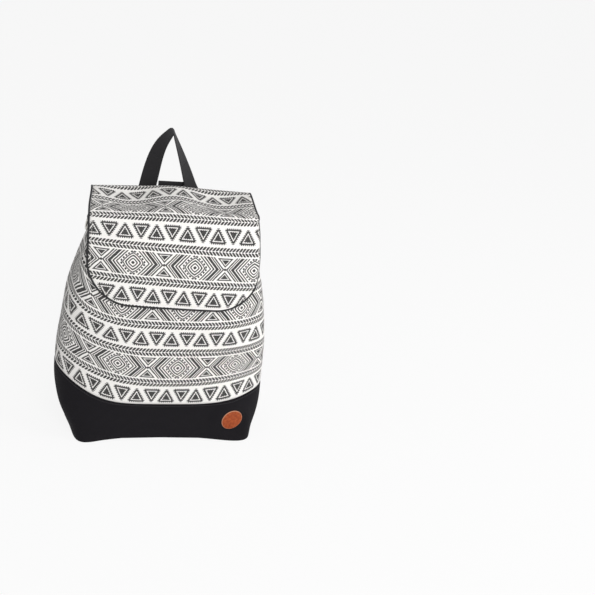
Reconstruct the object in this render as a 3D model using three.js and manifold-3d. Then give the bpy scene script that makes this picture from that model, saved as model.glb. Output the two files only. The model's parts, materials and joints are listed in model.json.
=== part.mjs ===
// Canvas backpack: printed body on a black base, piped flap over a zipped mouth, and one webbing strap
// that runs through a keeper at the top of the back and clips to rings at the lower back corners.
// Millimetres, +Z up, the front faces -Y, the origin is the centre of the flat base.
import * as THREE from 'three';
import { mergeGeometries, mergeVertices } from 'three/addons/utils/BufferGeometryUtils.js';
import Module from 'manifold-3d';

const wasm = await Module();
wasm.setup();

// Fits and facets
const SEAT = 0.3; // between a piece and what it is sewn to or seated on
const PLAY = 0.4; // running clearance of the metal fittings
const SKIN_SIDES = 44; // facets round the bag
const WIRE_SIDES = 6; // facets round a wire
const ROUND_SIDES = 14; // facets round a turned piece
const STRETCH_STEPS = 3; // facets of a short stretch of cloth
const CURVE_STEPS = 5; // facets of each curve in a flat outline
const WELD = 1e-4; // vertices closer than this are one
const PROBE = 0.01; // step for measuring slopes of the skin

// Bag body: its level section at five heights, each a rise above the one below
const BASE_WIDTH = 300;
const BASE_DEPTH = 148;
const BASE_SQUARENESS = 7;
const BASE_EDGE = 3;
const SEAM_RISE = 78;
const SEAM_WIDTH = 338;
const SEAM_DEPTH = 156;
const SEAM_SWEEP = 11; // the seam rises this much to the sides and dips as much at the front and back
const BELLY_RISE = 112;
const BELLY_WIDTH = 325;
const BELLY_DEPTH = 154;
const SHOULDER_RISE = 110;
const SHOULDER_WIDTH = 288;
const SHOULDER_DEPTH = 136;
const RIM_RISE = 74;
const RIM_WIDTH = 258;
const RIM_DEPTH = 98;
const BODY_SQUARENESS = 3;
const CANVAS = 2;
const GUSSET_TUCK = 13; // how far the side gusset folds in at the rim
const GUSSET_SPREAD = 30; // half width of that fold
const GUSSET_LENGTH = 150; // how far the fold runs down from the rim
const BODY_ROWS = 9;
const BASE_ROWS = 4;

// Flap
const FLAP_CANVAS = 2.4;
const FLAP_BACK_WIDTH = 246;
const FLAP_FRONT_WIDTH = 258;
const FLAP_CORNER = 66;
const FLAP_HEM = 26; // sewn to the back below the rim
const FLAP_RISE = 20; // back fold above the rim
const FLAP_FOLD = 9; // rounding of the back fold
const FLAP_LEAN = 4; // back fold in front of the rim below it
const FLAP_SLOPE = 9; // fall of the top from back to front
const FLAP_STANDOFF = 4.5; // from the body to the middle of the flap canvas
const FLAP_DROP = 136; // lower edge below the rim
const FLAP_HUG = 0.8; // how closely its sides bend back round the body
const FLAP_DROOP = 5; // how far its sides hang down beside the mouth
const FLAP_HOLLOW = 10.5; // depth of the two hollows that the slack top sinks into
const FLAP_HOLLOW_SPACING = 134; // between their middles
const FLAP_HOLLOW_FRONT = 44; // length over which they deepen from the front fold
const FLAP_HOLLOW_BACK = 27; // length over which they deepen from the back fold
const FLAP_COLUMNS = 22;
const FLAP_ROWS = 13;
const FLAP_CORNER_ROWS = 6;
const PIPING_RADIUS = 1.6;

// Webbing
const WEBBING = 1.6; // thickness
const STRAP_WIDTH = 25;
const LAYER_GAP = 0.3; // between two layers sewn together
const LAYER_CLOSING = 16; // length over which two layers come together past a bar
const HANDLE_WIDTH = 27;
const HANDLE_SPREAD = 71; // between the middles of the handle's legs
const HANDLE_HEIGHT = 90; // tip above the flap's back fold
const HANDLE_TAIL = 20; // sewn stretch of each leg below the rim
const HANDLE_TIP = 6; // rounding of the tip
const HANDLE_POINTED = 0.78; // 1 gives straight legs, less lets them curve in to the tip
const HANDLE_STEPS = 22;
const KEEPER_WIDTH = 41;
const KEEPER_SEWN = 16; // sewn stretch below the strap
const KEEPER_SHOW = 3; // top edge of the keeper above the flap's back fold
const ARCH_FLAT = 12; // half the level stretch of strap inside the keeper
const ARCH_RADIUS = 42; // turn of the strap out of the keeper
const ARCH_LIFT = 7; // strap off the back where that turn ends
const ARCH_TURN = 69; // degrees of that turn
const ARCH_STEPS = 8;
const RUN_STEPS = 14;
const RUN_STIFFNESS = 95; // length over which the strap keeps the direction of its ends
const RUN_BOW = 34; // how far the slack strap bows away from the back
const STRAP_TAIL = 34; // sewn end behind the left hook's eye
const WRAP_STEPS = 6; // facets of webbing round a bar

// Fittings
const RING_WIRE = 1.75; // radius
const RING_HALF_WIDTH = 12.5;
const RING_HEIGHT = 17;
const RING_CORNER = 3.5;
const RING_STEPS = 22;
const TAB_WIDTH = 17;
const TAB_LENGTH = 24;
const LOWER_RING_INSET_WIDTH = 6; // from the side of the flat base to the middle of the lower ring
const LOWER_RING_HEIGHT = 34;
const UPPER_RING_DROP = 27; // ring axis below the rim
const HOOK_THICKNESS = 4.8;
const HOOK_BAND = 4;
const HOOK_THROAT = 5.6; // half the clear width inside the hook
const HOOK_SLACK = 4.3; // from the ring wire's middle to the inside of the bend
const HOOK_LENGTH = 21; // from the ring wire's middle up to the shelf under the neck
const HOOK_NOSE = 8.4; // tip of the nose above the ring wire's middle
const NECK_RADIUS = 4.7;
const NECK_LENGTH = 7;
const POST_RADIUS = 2.1;
const POST_HEAD_RADIUS = 3;
const POST_HEAD = 1.5;
const GATE_THICKNESS = 2.2;
const GATE_WIDTH = 3;
const GATE_PIN = 0.9; // radius
const GATE_KNUCKLE = 2.1; // radius
const GATE_THUMB = 1.6; // thumb bump on the gate
const EYE_BAR = 3.2;
const EYE_WINDOW_WIDTH = 27.4;
const EYE_WINDOW_HEIGHT = 9;
const SLIDER_WIRE = 1.3; // radius
const SLIDER_HALF_LENGTH = 11;
const SLIDER_HALF_WIDTH = 15;
const SLIDER_CORNER = 3;
const SLIDER_DISTANCE = 96; // along the strap from the right hook's eye
const SLIDER_STEPS = 18;

// Zip and patch
const ZIP_DROP = 9; // tape below the rim
const ZIP_TAPE = 1.4;
const ZIP_EDGE = 1.7; // from the middle of the zip to the edge of each tape
const ZIP_MARGIN = 12; // bare tape at each end
const TOOTH_PITCH = 6;
const TOOTH_LENGTH = 2.3;
const TOOTH_REACH = 1.2; // past the middle of the zip
const TOOTH_ROOT = 4; // grip on its own tape
const TOOTH_HEIGHT = 3.4;
const ZIP_PLATE = 1.3;
const ZIP_FLANGE = 1.3;
const ZIP_SLIDER_LENGTH = 15;
const ZIP_DIVIDER = 2;
const BAIL_RADIUS = 3.4;
const BAIL_WIRE = 0.9;
const PULL_LENGTH = 16;
const PULL_WIDTH = 8;
const PULL_THICKNESS = 1.5;
const PULL_WINDOW = 4.6;
const PATCH_RADIUS = 18;
const PATCH_THICKNESS = 1.8;
const PATCH_INSET_WIDTH = 54; // from the base's widest side to the middle of the patch
const PATCH_HEIGHT = 37;

// Colours
const PRINT = { color: 0xe9e7e4, roughness: 0.9, metalness: 0 };
const CANVAS_BLACK = { color: 0x232125, roughness: 0.92, metalness: 0 };
const WEBBING_BLACK = { color: 0x2c2b2d, roughness: 0.8, metalness: 0 };
const LEATHER = { color: 0xaf5a37, roughness: 0.6, metalness: 0 };
const NICKEL = { color: 0xb9b8b4, roughness: 0.28, metalness: 1 };
const ZIP_BLACK = { color: 0x1f1f21, roughness: 0.6, metalness: 0 };

const backpack = new THREE.Group();
const X = new THREE.Vector3(1, 0, 0);
const Y = new THREE.Vector3(0, 1, 0);
const Z = new THREE.Vector3(0, 0, 1);

function piece(name, geometry, look, parent = backpack) {
  const mesh = new THREE.Mesh(geometry, new THREE.MeshStandardMaterial(look));
  mesh.name = name;
  parent.add(mesh);
  return mesh;
}

function smooth(from, to, value) {
  return THREE.MathUtils.smoothstep(value, from, to);
}

// Geometry of triangles that faces outwards, whichever way round its rings were listed.
function facingOut(points, index) {
  const volume = index.reduce((sum, _, i) => {
    if (i % 3) return sum;
    const [a, b, c] = [points[index[i]], points[index[i + 1]], points[index[i + 2]]];
    return sum + a.dot(b.clone().cross(c));
  }, 0);
  const geometry = new THREE.BufferGeometry().setFromPoints(points);
  geometry.setIndex(volume < 0 ? index.reverse() : index);
  geometry.computeVertexNormals();
  return geometry;
}

// Skin over rings of equal point count. Cyclic rings close on the first, others get a cap at each end.
function loft(rings, cyclic = false) {
  const count = rings[0].length;
  const index = [];
  const quad = (a, b, c, d) => index.push(a, b, c, a, c, d);
  const bands = cyclic ? rings.length : rings.length - 1;
  for (let i = 0; i < bands; i += 1) {
    const low = i * count;
    const high = ((i + 1) % rings.length) * count;
    for (let k = 0; k < count; k += 1) {
      const next = (k + 1) % count;
      quad(low + k, low + next, high + next, high + k);
    }
  }
  const end = (rings.length - 1) * count;
  for (let k = 0; !cyclic && k < count / 2 - 1; k += 1) {
    quad(count - 1 - k, count - 2 - k, k + 1, k);
    quad(end + k, end + k + 1, end + count - 2 - k, end + count - 1 - k);
  }
  return facingOut(rings.flat(), index);
}

// Direction of travel at each point of a path.
function tangents(points, cyclic = false) {
  const last = points.length - 1;
  return points.map((_, i) => {
    const before = cyclic ? points[(i + last) % (last + 1)] : points[Math.max(i - 1, 0)];
    const after = cyclic ? points[(i + 1) % (last + 1)] : points[Math.min(i + 1, last)];
    return after.clone().sub(before).normalize();
  });
}

// Flat band along samples { at, out }: at is its middle, out points away from its outer face.
function ribbon(samples, width, thickness) {
  const ways = tangents(samples.map((sample) => sample.at));
  const rings = samples.map(({ at, out }, i) => {
    const across = ways[i].clone().cross(out).normalize().multiplyScalar(width / 2);
    const through = across.clone().cross(ways[i]).normalize().multiplyScalar(thickness / 2);
    return [[1, 1], [-1, 1], [-1, -1], [1, -1]].map(
      ([a, t]) => at.clone().addScaledVector(across, a).addScaledVector(through, t),
    );
  });
  return loft(rings);
}

// Round wire along a planar path, whose plane faces the given way.
function wire(points, radius, facing, cyclic) {
  const ways = tangents(points, cyclic);
  const rings = points.map((at, i) => {
    const inward = ways[i].clone().cross(facing).normalize();
    return Array.from({ length: WIRE_SIDES }, (_, k) => {
      const angle = ((k + 0.5) / WIRE_SIDES) * 2 * Math.PI;
      return at
        .clone()
        .addScaledVector(facing, radius * Math.cos(angle))
        .addScaledVector(inward, radius * Math.sin(angle));
    });
  });
  return loft(rings, cyclic);
}

function solidOf(geometry) {
  const bare = new THREE.BufferGeometry();
  bare.setAttribute('position', geometry.getAttribute('position'));
  bare.setIndex(geometry.index);
  const welded = mergeVertices(bare, WELD);
  return new wasm.Manifold(
    new wasm.Mesh({
      numProp: 3,
      vertProperties: new Float32Array(welded.getAttribute('position').array),
      triVerts: new Uint32Array(welded.index.array),
    }),
  );
}

function geometryOf(solid) {
  const mesh = solid.getMesh();
  const geometry = new THREE.BufferGeometry();
  geometry.setAttribute('position', new THREE.BufferAttribute(new Float32Array(mesh.vertProperties), 3));
  geometry.setIndex(new THREE.BufferAttribute(new Uint32Array(mesh.triVerts), 1));
  geometry.computeVertexNormals();
  return geometry;
}

function box(x, y, z, atX, atY, atZ) {
  return new THREE.BoxGeometry(x, y, z).translate(atX, atY, atZ);
}

// Turned piece on the local Y axis, from one height to another.
function turned(radius, from, to) {
  return new THREE.CylinderGeometry(radius, radius, to - from, ROUND_SIDES).translate(0, (from + to) / 2, 0);
}

// Plate of a flat outline, centred on the outline's plane.
function plate(shape, thickness) {
  const options = { depth: thickness, bevelEnabled: false, curveSegments: CURVE_STEPS };
  return new THREE.ExtrudeGeometry(shape, options).translate(0, 0, -thickness / 2);
}

// The bag's skin
const SEAM_HEIGHT = SEAM_RISE;
const BELLY_HEIGHT = SEAM_HEIGHT + BELLY_RISE;
const SHOULDER_HEIGHT = BELLY_HEIGHT + SHOULDER_RISE;
const RIM_HEIGHT = SHOULDER_HEIGHT + RIM_RISE;
const stations = [
  { z: 0, width: BASE_WIDTH, depth: BASE_DEPTH, squareness: BASE_SQUARENESS },
  { z: SEAM_HEIGHT, width: SEAM_WIDTH, depth: SEAM_DEPTH, squareness: BODY_SQUARENESS },
  { z: BELLY_HEIGHT, width: BELLY_WIDTH, depth: BELLY_DEPTH, squareness: BODY_SQUARENESS },
  { z: SHOULDER_HEIGHT, width: SHOULDER_WIDTH, depth: SHOULDER_DEPTH, squareness: BODY_SQUARENESS },
  { z: RIM_HEIGHT, width: RIM_WIDTH, depth: RIM_DEPTH, squareness: BODY_SQUARENESS },
];

// Value of the section at a height, eased from station to station without a kink.
function section(key, z) {
  const last = stations.length - 1;
  const above = stations.findIndex((station) => station.z >= z);
  const i = above < 0 ? last - 1 : Math.max(above - 1, 0);
  const slope = (k) => {
    const before = stations[Math.max(k - 1, 0)];
    const after = stations[Math.min(k + 1, last)];
    return (after[key] - before[key]) / (after.z - before.z);
  };
  const [low, high] = [stations[i], stations[i + 1]];
  const span = high.z - low.z;
  const t = (z - low.z) / span;
  const ease = t * t * (3 - 2 * t);
  const lead = t * (1 - t) * (1 - t) * slope(i) * span;
  const trail = t * t * (t - 1) * slope(i + 1) * span;
  return low[key] + (high[key] - low[key]) * ease + lead + trail;
}

function gussetTuck(y, z) {
  const depth = GUSSET_TUCK * smooth(RIM_HEIGHT - GUSSET_LENGTH, RIM_HEIGHT, z);
  return depth * Math.exp(-((y / GUSSET_SPREAD) ** 2));
}

// Point of the skin at an angle from +X, moved inwards by the inset.
function skin(angle, z, inset = 0) {
  const power = 2 / section('squareness', z);
  const across = Math.cos(angle);
  const deep = Math.sin(angle);
  const x = (section('width', z) / 2 - inset) * Math.sign(across) * Math.abs(across) ** power;
  const y = (section('depth', z) / 2 - inset) * Math.sign(deep) * Math.abs(deep) ** power;
  const side = Math.abs(across) ** 2;
  return new THREE.Vector3(x - Math.sign(x) * side * gussetTuck(y, z), y, z);
}

// Level ring of the skin, or one whose height changes with the angle.
function ring(height, inset) {
  return Array.from({ length: SKIN_SIDES }, (_, k) => {
    const angle = (k / SKIN_SIDES) * 2 * Math.PI;
    return skin(angle, typeof height === 'function' ? height(angle) : height, inset);
  });
}

function seamAt(angle) {
  return SEAM_HEIGHT + SEAM_SWEEP * Math.cos(2 * angle);
}

// Angle of the skin where it crosses x, on the back (facing 1) or the front (facing -1).
function angleAt(x, z, facing) {
  let low = 0;
  let high = Math.PI;
  while (high - low > WELD) {
    const middle = (low + high) / 2;
    if (skin(middle, z).x > x) low = middle;
    else high = middle;
  }
  return facing * low;
}

// Frame seated on the skin: its Z leaves the bag, its Y runs along the skin towards the given direction.
function seatAt(angle, z, towards) {
  const at = skin(angle, z);
  const along = skin(angle + PROBE, z).sub(skin(angle - PROBE, z));
  const up = skin(angle, z + PROBE).sub(skin(angle, z - PROBE));
  const out = along.cross(up).normalize();
  const rise = towards.clone().projectOnPlane(out).normalize();
  return new THREE.Matrix4().makeBasis(rise.clone().cross(out), rise, out).setPosition(at);
}

function seat(x, z, facing, towards) {
  return seatAt(angleAt(x, z, facing), z, towards);
}

function rows(from, to, count) {
  return Array.from({ length: count + 1 }, (_, i) => from + ((to - from) * i) / count);
}

// Printed body: a tube that opens at the rim and at the seam
function printedBody() {
  const foot = (angle) => seamAt(angle) + SEAT;
  const level = (t) => (angle) => THREE.MathUtils.lerp(foot(angle), RIM_HEIGHT, t);
  const heights = rows(0, 1, BODY_ROWS).map(level);
  const outside = heights.map((height) => ring(height, 0));
  const inside = heights.map((height) => ring(height, CANVAS)).reverse();
  return loft([...outside, ...inside], true);
}
piece('printed_body', printedBody(), PRINT);

// Base: a tub with a flat bottom and a folded edge
function baseCup() {
  const level = (t) => (angle) => THREE.MathUtils.lerp(BASE_EDGE, seamAt(angle), t);
  const heights = rows(0, 1, BASE_ROWS).map(level);
  const outside = heights.map((height) => ring(height, 0));
  const inside = heights.map((height) => ring(height, CANVAS)).reverse();
  return loft([ring(0, BASE_EDGE), ...outside, ...inside, ring(CANVAS, BASE_EDGE + CANVAS)]);
}
piece('base_cup', baseCup(), CANVAS_BLACK);

// Flap
const FLAP_SEWN = SEAT + FLAP_CANVAS / 2; // from the back to the middle of the flap canvas
const FLAP_TOP = RIM_HEIGHT + FLAP_RISE;
const backAt = (z) => section('depth', z) / 2;
const flapHemFoot = RIM_HEIGHT - FLAP_HEM;
const flapBackY = backAt(RIM_HEIGHT) + FLAP_SEWN;
const flapFrontY = -(backAt(RIM_HEIGHT) + FLAP_STANDOFF);
const flapFrontFall = rows(RIM_HEIGHT - FLAP_RISE, RIM_HEIGHT - FLAP_DROP, 2 * STRETCH_STEPS);
const flapLine = new THREE.CatmullRomCurve3([
  ...rows(flapHemFoot, RIM_HEIGHT, STRETCH_STEPS).map((z) => new THREE.Vector3(0, backAt(z) + FLAP_SEWN, z)),
  new THREE.Vector3(0, flapBackY - FLAP_LEAN, FLAP_TOP - FLAP_FOLD),
  new THREE.Vector3(0, flapBackY - FLAP_LEAN - FLAP_FOLD, FLAP_TOP),
  new THREE.Vector3(0, 0, FLAP_TOP - FLAP_SLOPE / 3),
  new THREE.Vector3(0, flapFrontY + FLAP_FOLD, FLAP_TOP - FLAP_SLOPE),
  new THREE.Vector3(0, flapFrontY, RIM_HEIGHT + FLAP_SEWN),
  ...flapFrontFall.map((z) => new THREE.Vector3(0, -(backAt(z) + FLAP_STANDOFF), z)),
], false, 'centripetal');
const flapLength = flapLine.getLength();
const flapStraight = flapLength - FLAP_CORNER;

// Middle of the flap canvas: share runs from side to side, run is the distance from the sewn hem.
function flapPoint(share, run) {
  const at = flapLine.getPointAt(Math.min(run / flapLength, 1));
  const way = flapLine.getTangentAt(Math.min(run / flapLength, 1));
  const level = Math.abs(way.y);
  const widening = smooth(0, flapStraight, run);
  const half = (FLAP_BACK_WIDTH + (FLAP_FRONT_WIDTH - FLAP_BACK_WIDTH) * widening) / 2;
  const past = Math.max(run - flapStraight, 0);
  const reach = half - FLAP_CORNER + Math.sqrt(Math.max(FLAP_CORNER ** 2 - past ** 2, 0));
  const x = share * reach;
  const bend = (x / half) ** 2;
  const round = Math.abs((2 * x) / section('width', at.z)) ** BODY_SQUARENESS;
  const recede = (FLAP_HUG * round * backAt(at.z)) / BODY_SQUARENESS;
  const backFoldY = flapBackY - FLAP_LEAN;
  const slack = smooth(flapFrontY, flapFrontY + FLAP_HOLLOW_FRONT, at.y)
    * (1 - smooth(backFoldY - FLAP_HOLLOW_BACK, backFoldY, at.y));
  const hollow = (FLAP_HOLLOW * (1 - Math.cos((2 * Math.PI * x) / FLAP_HOLLOW_SPACING)) * level * slack) / 2;
  return new THREE.Vector3(
    x,
    at.y - Math.sign(at.y) * recede * (1 - level) * smooth(0, FLAP_HEM, Math.abs(at.y)),
    at.z - FLAP_DROOP * bend * level - hollow,
  );
}

function flapOut(share, run) {
  const inside = Math.min(Math.max(run, PROBE), flapLength - PROBE);
  const across = flapPoint(share + PROBE, inside).sub(flapPoint(share - PROBE, inside));
  const along = flapPoint(share, inside + PROBE).sub(flapPoint(share, inside - PROBE));
  return across.cross(along).negate().normalize();
}

const flapCornerRuns = rows(0, Math.PI / 2, FLAP_CORNER_ROWS).map(
  (angle) => flapStraight + FLAP_CORNER * Math.sin(angle),
);
const flapRuns = [...rows(0, flapStraight, FLAP_ROWS), ...flapCornerRuns.slice(1)];
const flapShares = rows(-1, 1, FLAP_COLUMNS);

function flapSheet() {
  const rings = flapRuns.map((run) => {
    const face = (side) => flapShares.map(
      (share) => flapPoint(share, run).addScaledVector(flapOut(share, run), (side * FLAP_CANVAS) / 2),
    );
    return [...face(1), ...face(-1).reverse()];
  });
  return loft(rings);
}
piece('flap', flapSheet(), PRINT);

// Piping: a cord in the edge seam, down one side, along the lower edge and up the other side
function flapPiping() {
  const lower = flapShares.slice(1, -1);
  const edge = [
    ...flapRuns.map((run) => [-1, run]),
    ...lower.map((share) => [share, flapLength]),
    ...[...flapRuns].reverse().map((run) => [1, run]),
  ];
  const points = edge.map(([share, run]) => flapPoint(share, run));
  const ways = tangents(points);
  const outs = edge.map(([share, run]) => flapOut(share, run));
  const offset = SEAT + PIPING_RADIUS;
  const rings = points.map((at, i) => {
    const away = outs[i].clone().cross(ways[i]).normalize().negate();
    const middle = at.clone().addScaledVector(away, offset);
    return Array.from({ length: WIRE_SIDES }, (_, k) => {
      const angle = ((k + 0.5) / WIRE_SIDES) * 2 * Math.PI;
      return middle
        .clone()
        .addScaledVector(away, PIPING_RADIUS * Math.cos(angle))
        .addScaledVector(outs[i], PIPING_RADIUS * Math.sin(angle));
    });
  });
  return loft(rings);
}
piece('flap_piping', flapPiping(), WEBBING_BLACK);

// Handle: a webbing loop sewn over the flap's hem, turned a quarter round towards its tip
const WEB_SEAT = SEAT + WEBBING / 2; // from a face to the middle of webbing sewn to it
const OVER_HEM = FLAP_SEWN + FLAP_CANVAS / 2 + WEB_SEAT; // from the back to webbing sewn over the hem

// Depth of a layer that lies off the leaning back, square to it.
function offBack(z, offset) {
  const lean = (backAt(z) - backAt(z - PROBE)) / PROBE;
  return backAt(z) + offset * Math.hypot(1, lean);
}

function handleLoop() {
  const y = offBack(RIM_HEIGHT, OVER_HEM);
  const blunt = HANDLE_TIP / (HANDLE_SPREAD / 2);
  const arch = rows(-1, 1, HANDLE_STEPS).map((share) => {
    const off = (Math.hypot(share, blunt) - blunt) / (Math.hypot(1, blunt) - blunt);
    const rise = HANDLE_HEIGHT * Math.max(1 - off, 0) ** HANDLE_POINTED;
    return new THREE.Vector3((share * HANDLE_SPREAD) / 2, y, FLAP_TOP + rise);
  });
  const leg = (side) => rows(RIM_HEIGHT - HANDLE_TAIL, RIM_HEIGHT, STRETCH_STEPS).map(
    (z) => new THREE.Vector3((side * HANDLE_SPREAD) / 2, offBack(z, OVER_HEM), z),
  );
  const path = new THREE.CatmullRomCurve3([...leg(-1), ...arch, ...leg(1).reverse()], false, 'centripetal');
  const points = path.getSpacedPoints(HANDLE_STEPS);
  const ways = tangents(points);
  const samples = points.map((at, i) => {
    const turn = (Math.PI / 2) * smooth(FLAP_TOP, FLAP_TOP + HANDLE_HEIGHT, at.z);
    const above = new THREE.Vector3(-ways[i].z, 0, ways[i].x);
    return { at, out: above.multiplyScalar(Math.sin(turn)).addScaledVector(Y, Math.cos(turn)) };
  });
  return ribbon(samples, HANDLE_WIDTH, WEBBING);
}
piece('handle', handleLoop(), WEBBING_BLACK);

// Keeper: a band between the handle's legs, sewn above and below the strap that it holds
const STRAP_HEIGHT = flapHemFoot - SEAT - STRAP_WIDTH / 2;

function keeperBand() {
  const strapFoot = STRAP_HEIGHT - STRAP_WIDTH / 2 - SEAT;
  const sewnTop = strapFoot - OVER_HEM;
  const sample = (z, offset) => ({
    at: new THREE.Vector3(0, offBack(Math.min(z, RIM_HEIGHT), offset), z),
    out: Y,
  });
  const samples = [
    sample(FLAP_TOP + KEEPER_SHOW, OVER_HEM),
    ...rows(RIM_HEIGHT, flapHemFoot, STRETCH_STEPS).map((z) => sample(z, OVER_HEM)),
    ...rows(STRAP_HEIGHT, strapFoot, STRETCH_STEPS).map((z) => sample(z, OVER_HEM)),
    ...rows(sewnTop, sewnTop - KEEPER_SEWN, STRETCH_STEPS).map((z) => sample(z, WEB_SEAT)),
  ];
  return ribbon(samples, KEEPER_WIDTH, WEBBING);
}
piece('strap_keeper', keeperBand(), WEBBING_BLACK);

// Ring tabs: a short band folded over the ring's straight bar, in a frame seated on the bag
const TAB_TURN = RING_WIRE + SEAT + WEBBING / 2; // from the ring's bar to the middle of the band
const RING_AXIS = WEB_SEAT + TAB_TURN; // ring's bar off the bag

// Half turn of a band round a bar at the middle, from the inner side over the far side to the outer side.
function halfTurn(middle, radius, out, far, steps = WRAP_STEPS, turn = Math.PI) {
  return rows(0, turn, steps).map((angle) => {
    const away = out.clone().multiplyScalar(-Math.cos(angle)).addScaledVector(far, Math.sin(angle));
    return { at: middle.clone().addScaledVector(away, radius), out: away };
  });
}

function ringTab() {
  const axis = new THREE.Vector3(0, 0, RING_AXIS);
  const outer = WEB_SEAT + WEBBING + LAYER_GAP;
  const samples = [
    { at: new THREE.Vector3(0, -TAB_LENGTH, WEB_SEAT), out: Z.clone().negate() },
    ...halfTurn(axis, TAB_TURN, Z, Y),
    { at: new THREE.Vector3(0, -TAB_LENGTH / 2, outer), out: Z },
    { at: new THREE.Vector3(0, -TAB_LENGTH, outer), out: Z },
  ];
  return ribbon(samples, TAB_WIDTH, WEBBING);
}

// D-ring: straight bar on the local X axis, bow towards +Y
function dRing() {
  const path = new THREE.Path();
  const straight = RING_HALF_WIDTH - RING_CORNER;
  path.moveTo(-straight, 0);
  path.lineTo(straight, 0);
  path.absarc(straight, RING_CORNER, RING_CORNER, -Math.PI / 2, 0);
  path.absellipse(0, RING_CORNER, RING_HALF_WIDTH, RING_HEIGHT - RING_CORNER, 0, Math.PI);
  path.absarc(-straight, RING_CORNER, RING_CORNER, Math.PI, 1.5 * Math.PI);
  const points = path.getSpacedPoints(RING_STEPS).slice(0, -1);
  return wire(points.map((point) => new THREE.Vector3(point.x, point.y, 0)), RING_WIRE, Z, true);
}

// Swivel hook in its own plane: x leaves the bag, y runs up the strap, the ring's wire is at the origin
const HOOK_OUTSIDE = HOOK_THROAT + HOOK_BAND;
const HOOK_BEND = HOOK_THROAT - HOOK_SLACK;
const NECK_TOP = HOOK_LENGTH + NECK_LENGTH;
const GATE_X = HOOK_THROAT + HOOK_BAND / 2;
const GATE_PIVOT = HOOK_LENGTH + GATE_KNUCKLE - SEAT;
const LUG_FOOT = HOOK_LENGTH - GATE_KNUCKLE;

function hookBody() {
  const tip = HOOK_NOSE - HOOK_BAND / 2;
  const outline = new THREE.Shape();
  outline.moveTo(-NECK_RADIUS, NECK_TOP);
  outline.lineTo(NECK_RADIUS, NECK_TOP);
  outline.quadraticCurveTo(HOOK_OUTSIDE, NECK_TOP, HOOK_OUTSIDE, GATE_PIVOT);
  outline.lineTo(HOOK_OUTSIDE, LUG_FOOT);
  outline.lineTo(HOOK_THROAT, LUG_FOOT);
  outline.lineTo(HOOK_THROAT, HOOK_LENGTH);
  outline.lineTo(-HOOK_THROAT, HOOK_LENGTH);
  outline.lineTo(-HOOK_THROAT, HOOK_BEND);
  outline.absarc(0, HOOK_BEND, HOOK_THROAT, Math.PI, 2 * Math.PI, false);
  outline.lineTo(HOOK_THROAT, tip);
  outline.absarc(GATE_X, tip, HOOK_BAND / 2, Math.PI, 0, true);
  outline.lineTo(HOOK_OUTSIDE, HOOK_BEND);
  outline.absarc(0, HOOK_BEND, HOOK_OUTSIDE, 0, Math.PI, true);
  outline.lineTo(-HOOK_OUTSIDE, LUG_FOOT);
  outline.quadraticCurveTo(-HOOK_OUTSIDE, NECK_TOP, -NECK_RADIUS, NECK_TOP);
  const slotTop = GATE_PIVOT + GATE_KNUCKLE + PLAY;
  const slotInside = GATE_X - GATE_KNUCKLE - 2 * PLAY;
  const slotOutside = HOOK_OUTSIDE + GATE_KNUCKLE;
  const slot = box(
    slotOutside - slotInside,
    slotTop - LUG_FOOT + PLAY,
    GATE_THICKNESS + 2 * PLAY,
    (slotOutside + slotInside) / 2,
    (slotTop + LUG_FOOT - PLAY) / 2,
    0,
  );
  const pin = turned(GATE_PIN, -HOOK_THICKNESS / 2, HOOK_THICKNESS / 2)
    .rotateX(Math.PI / 2)
    .translate(GATE_X, GATE_PIVOT, 0);
  const bore = turned(POST_RADIUS + PLAY, HOOK_LENGTH - PLAY, NECK_TOP + PLAY);
  const neck = solidOf(turned(NECK_RADIUS, HOOK_LENGTH, NECK_TOP));
  const body = solidOf(plate(outline, HOOK_THICKNESS)).add(neck);
  return geometryOf(body.subtract(solidOf(slot)).subtract(solidOf(bore)).add(solidOf(pin)));
}

// Gate on its pivot at the origin: a knuckle between the lugs and a lever down to the nose, with a thumb bump
function hookGate() {
  const top = LUG_FOOT - GATE_PIVOT - GATE_KNUCKLE / 2;
  const foot = HOOK_NOSE + PLAY - GATE_PIVOT;
  const half = GATE_WIDTH / 2;
  const knuckle = new THREE.Shape();
  knuckle.moveTo(-half, top);
  knuckle.lineTo(half, top);
  knuckle.lineTo(GATE_KNUCKLE, 0);
  knuckle.absarc(0, 0, GATE_KNUCKLE, 0, Math.PI, false);
  const hole = new THREE.Path();
  hole.absarc(0, 0, GATE_PIN + PLAY / 2, 0, 2 * Math.PI, true);
  knuckle.holes.push(hole);
  const lever = new THREE.Shape();
  lever.moveTo(-half, foot);
  lever.lineTo(half, foot);
  lever.quadraticCurveTo(half + 2 * GATE_THUMB, (foot + top) / 2, half, top);
  lever.lineTo(-half, top);
  const joined = solidOf(plate(knuckle, GATE_THICKNESS)).add(solidOf(plate(lever, HOOK_THICKNESS)));
  return geometryOf(joined);
}

// Swivel eye: a D-shaped loop for the strap on a headed post that turns in the hook's neck
const EYE_FOOT = NECK_TOP + PLAY;
const EYE_TOP = EYE_FOOT + EYE_WINDOW_HEIGHT + 2 * EYE_BAR;
const EYE_AXIS = EYE_TOP - EYE_BAR / 2;

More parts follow.
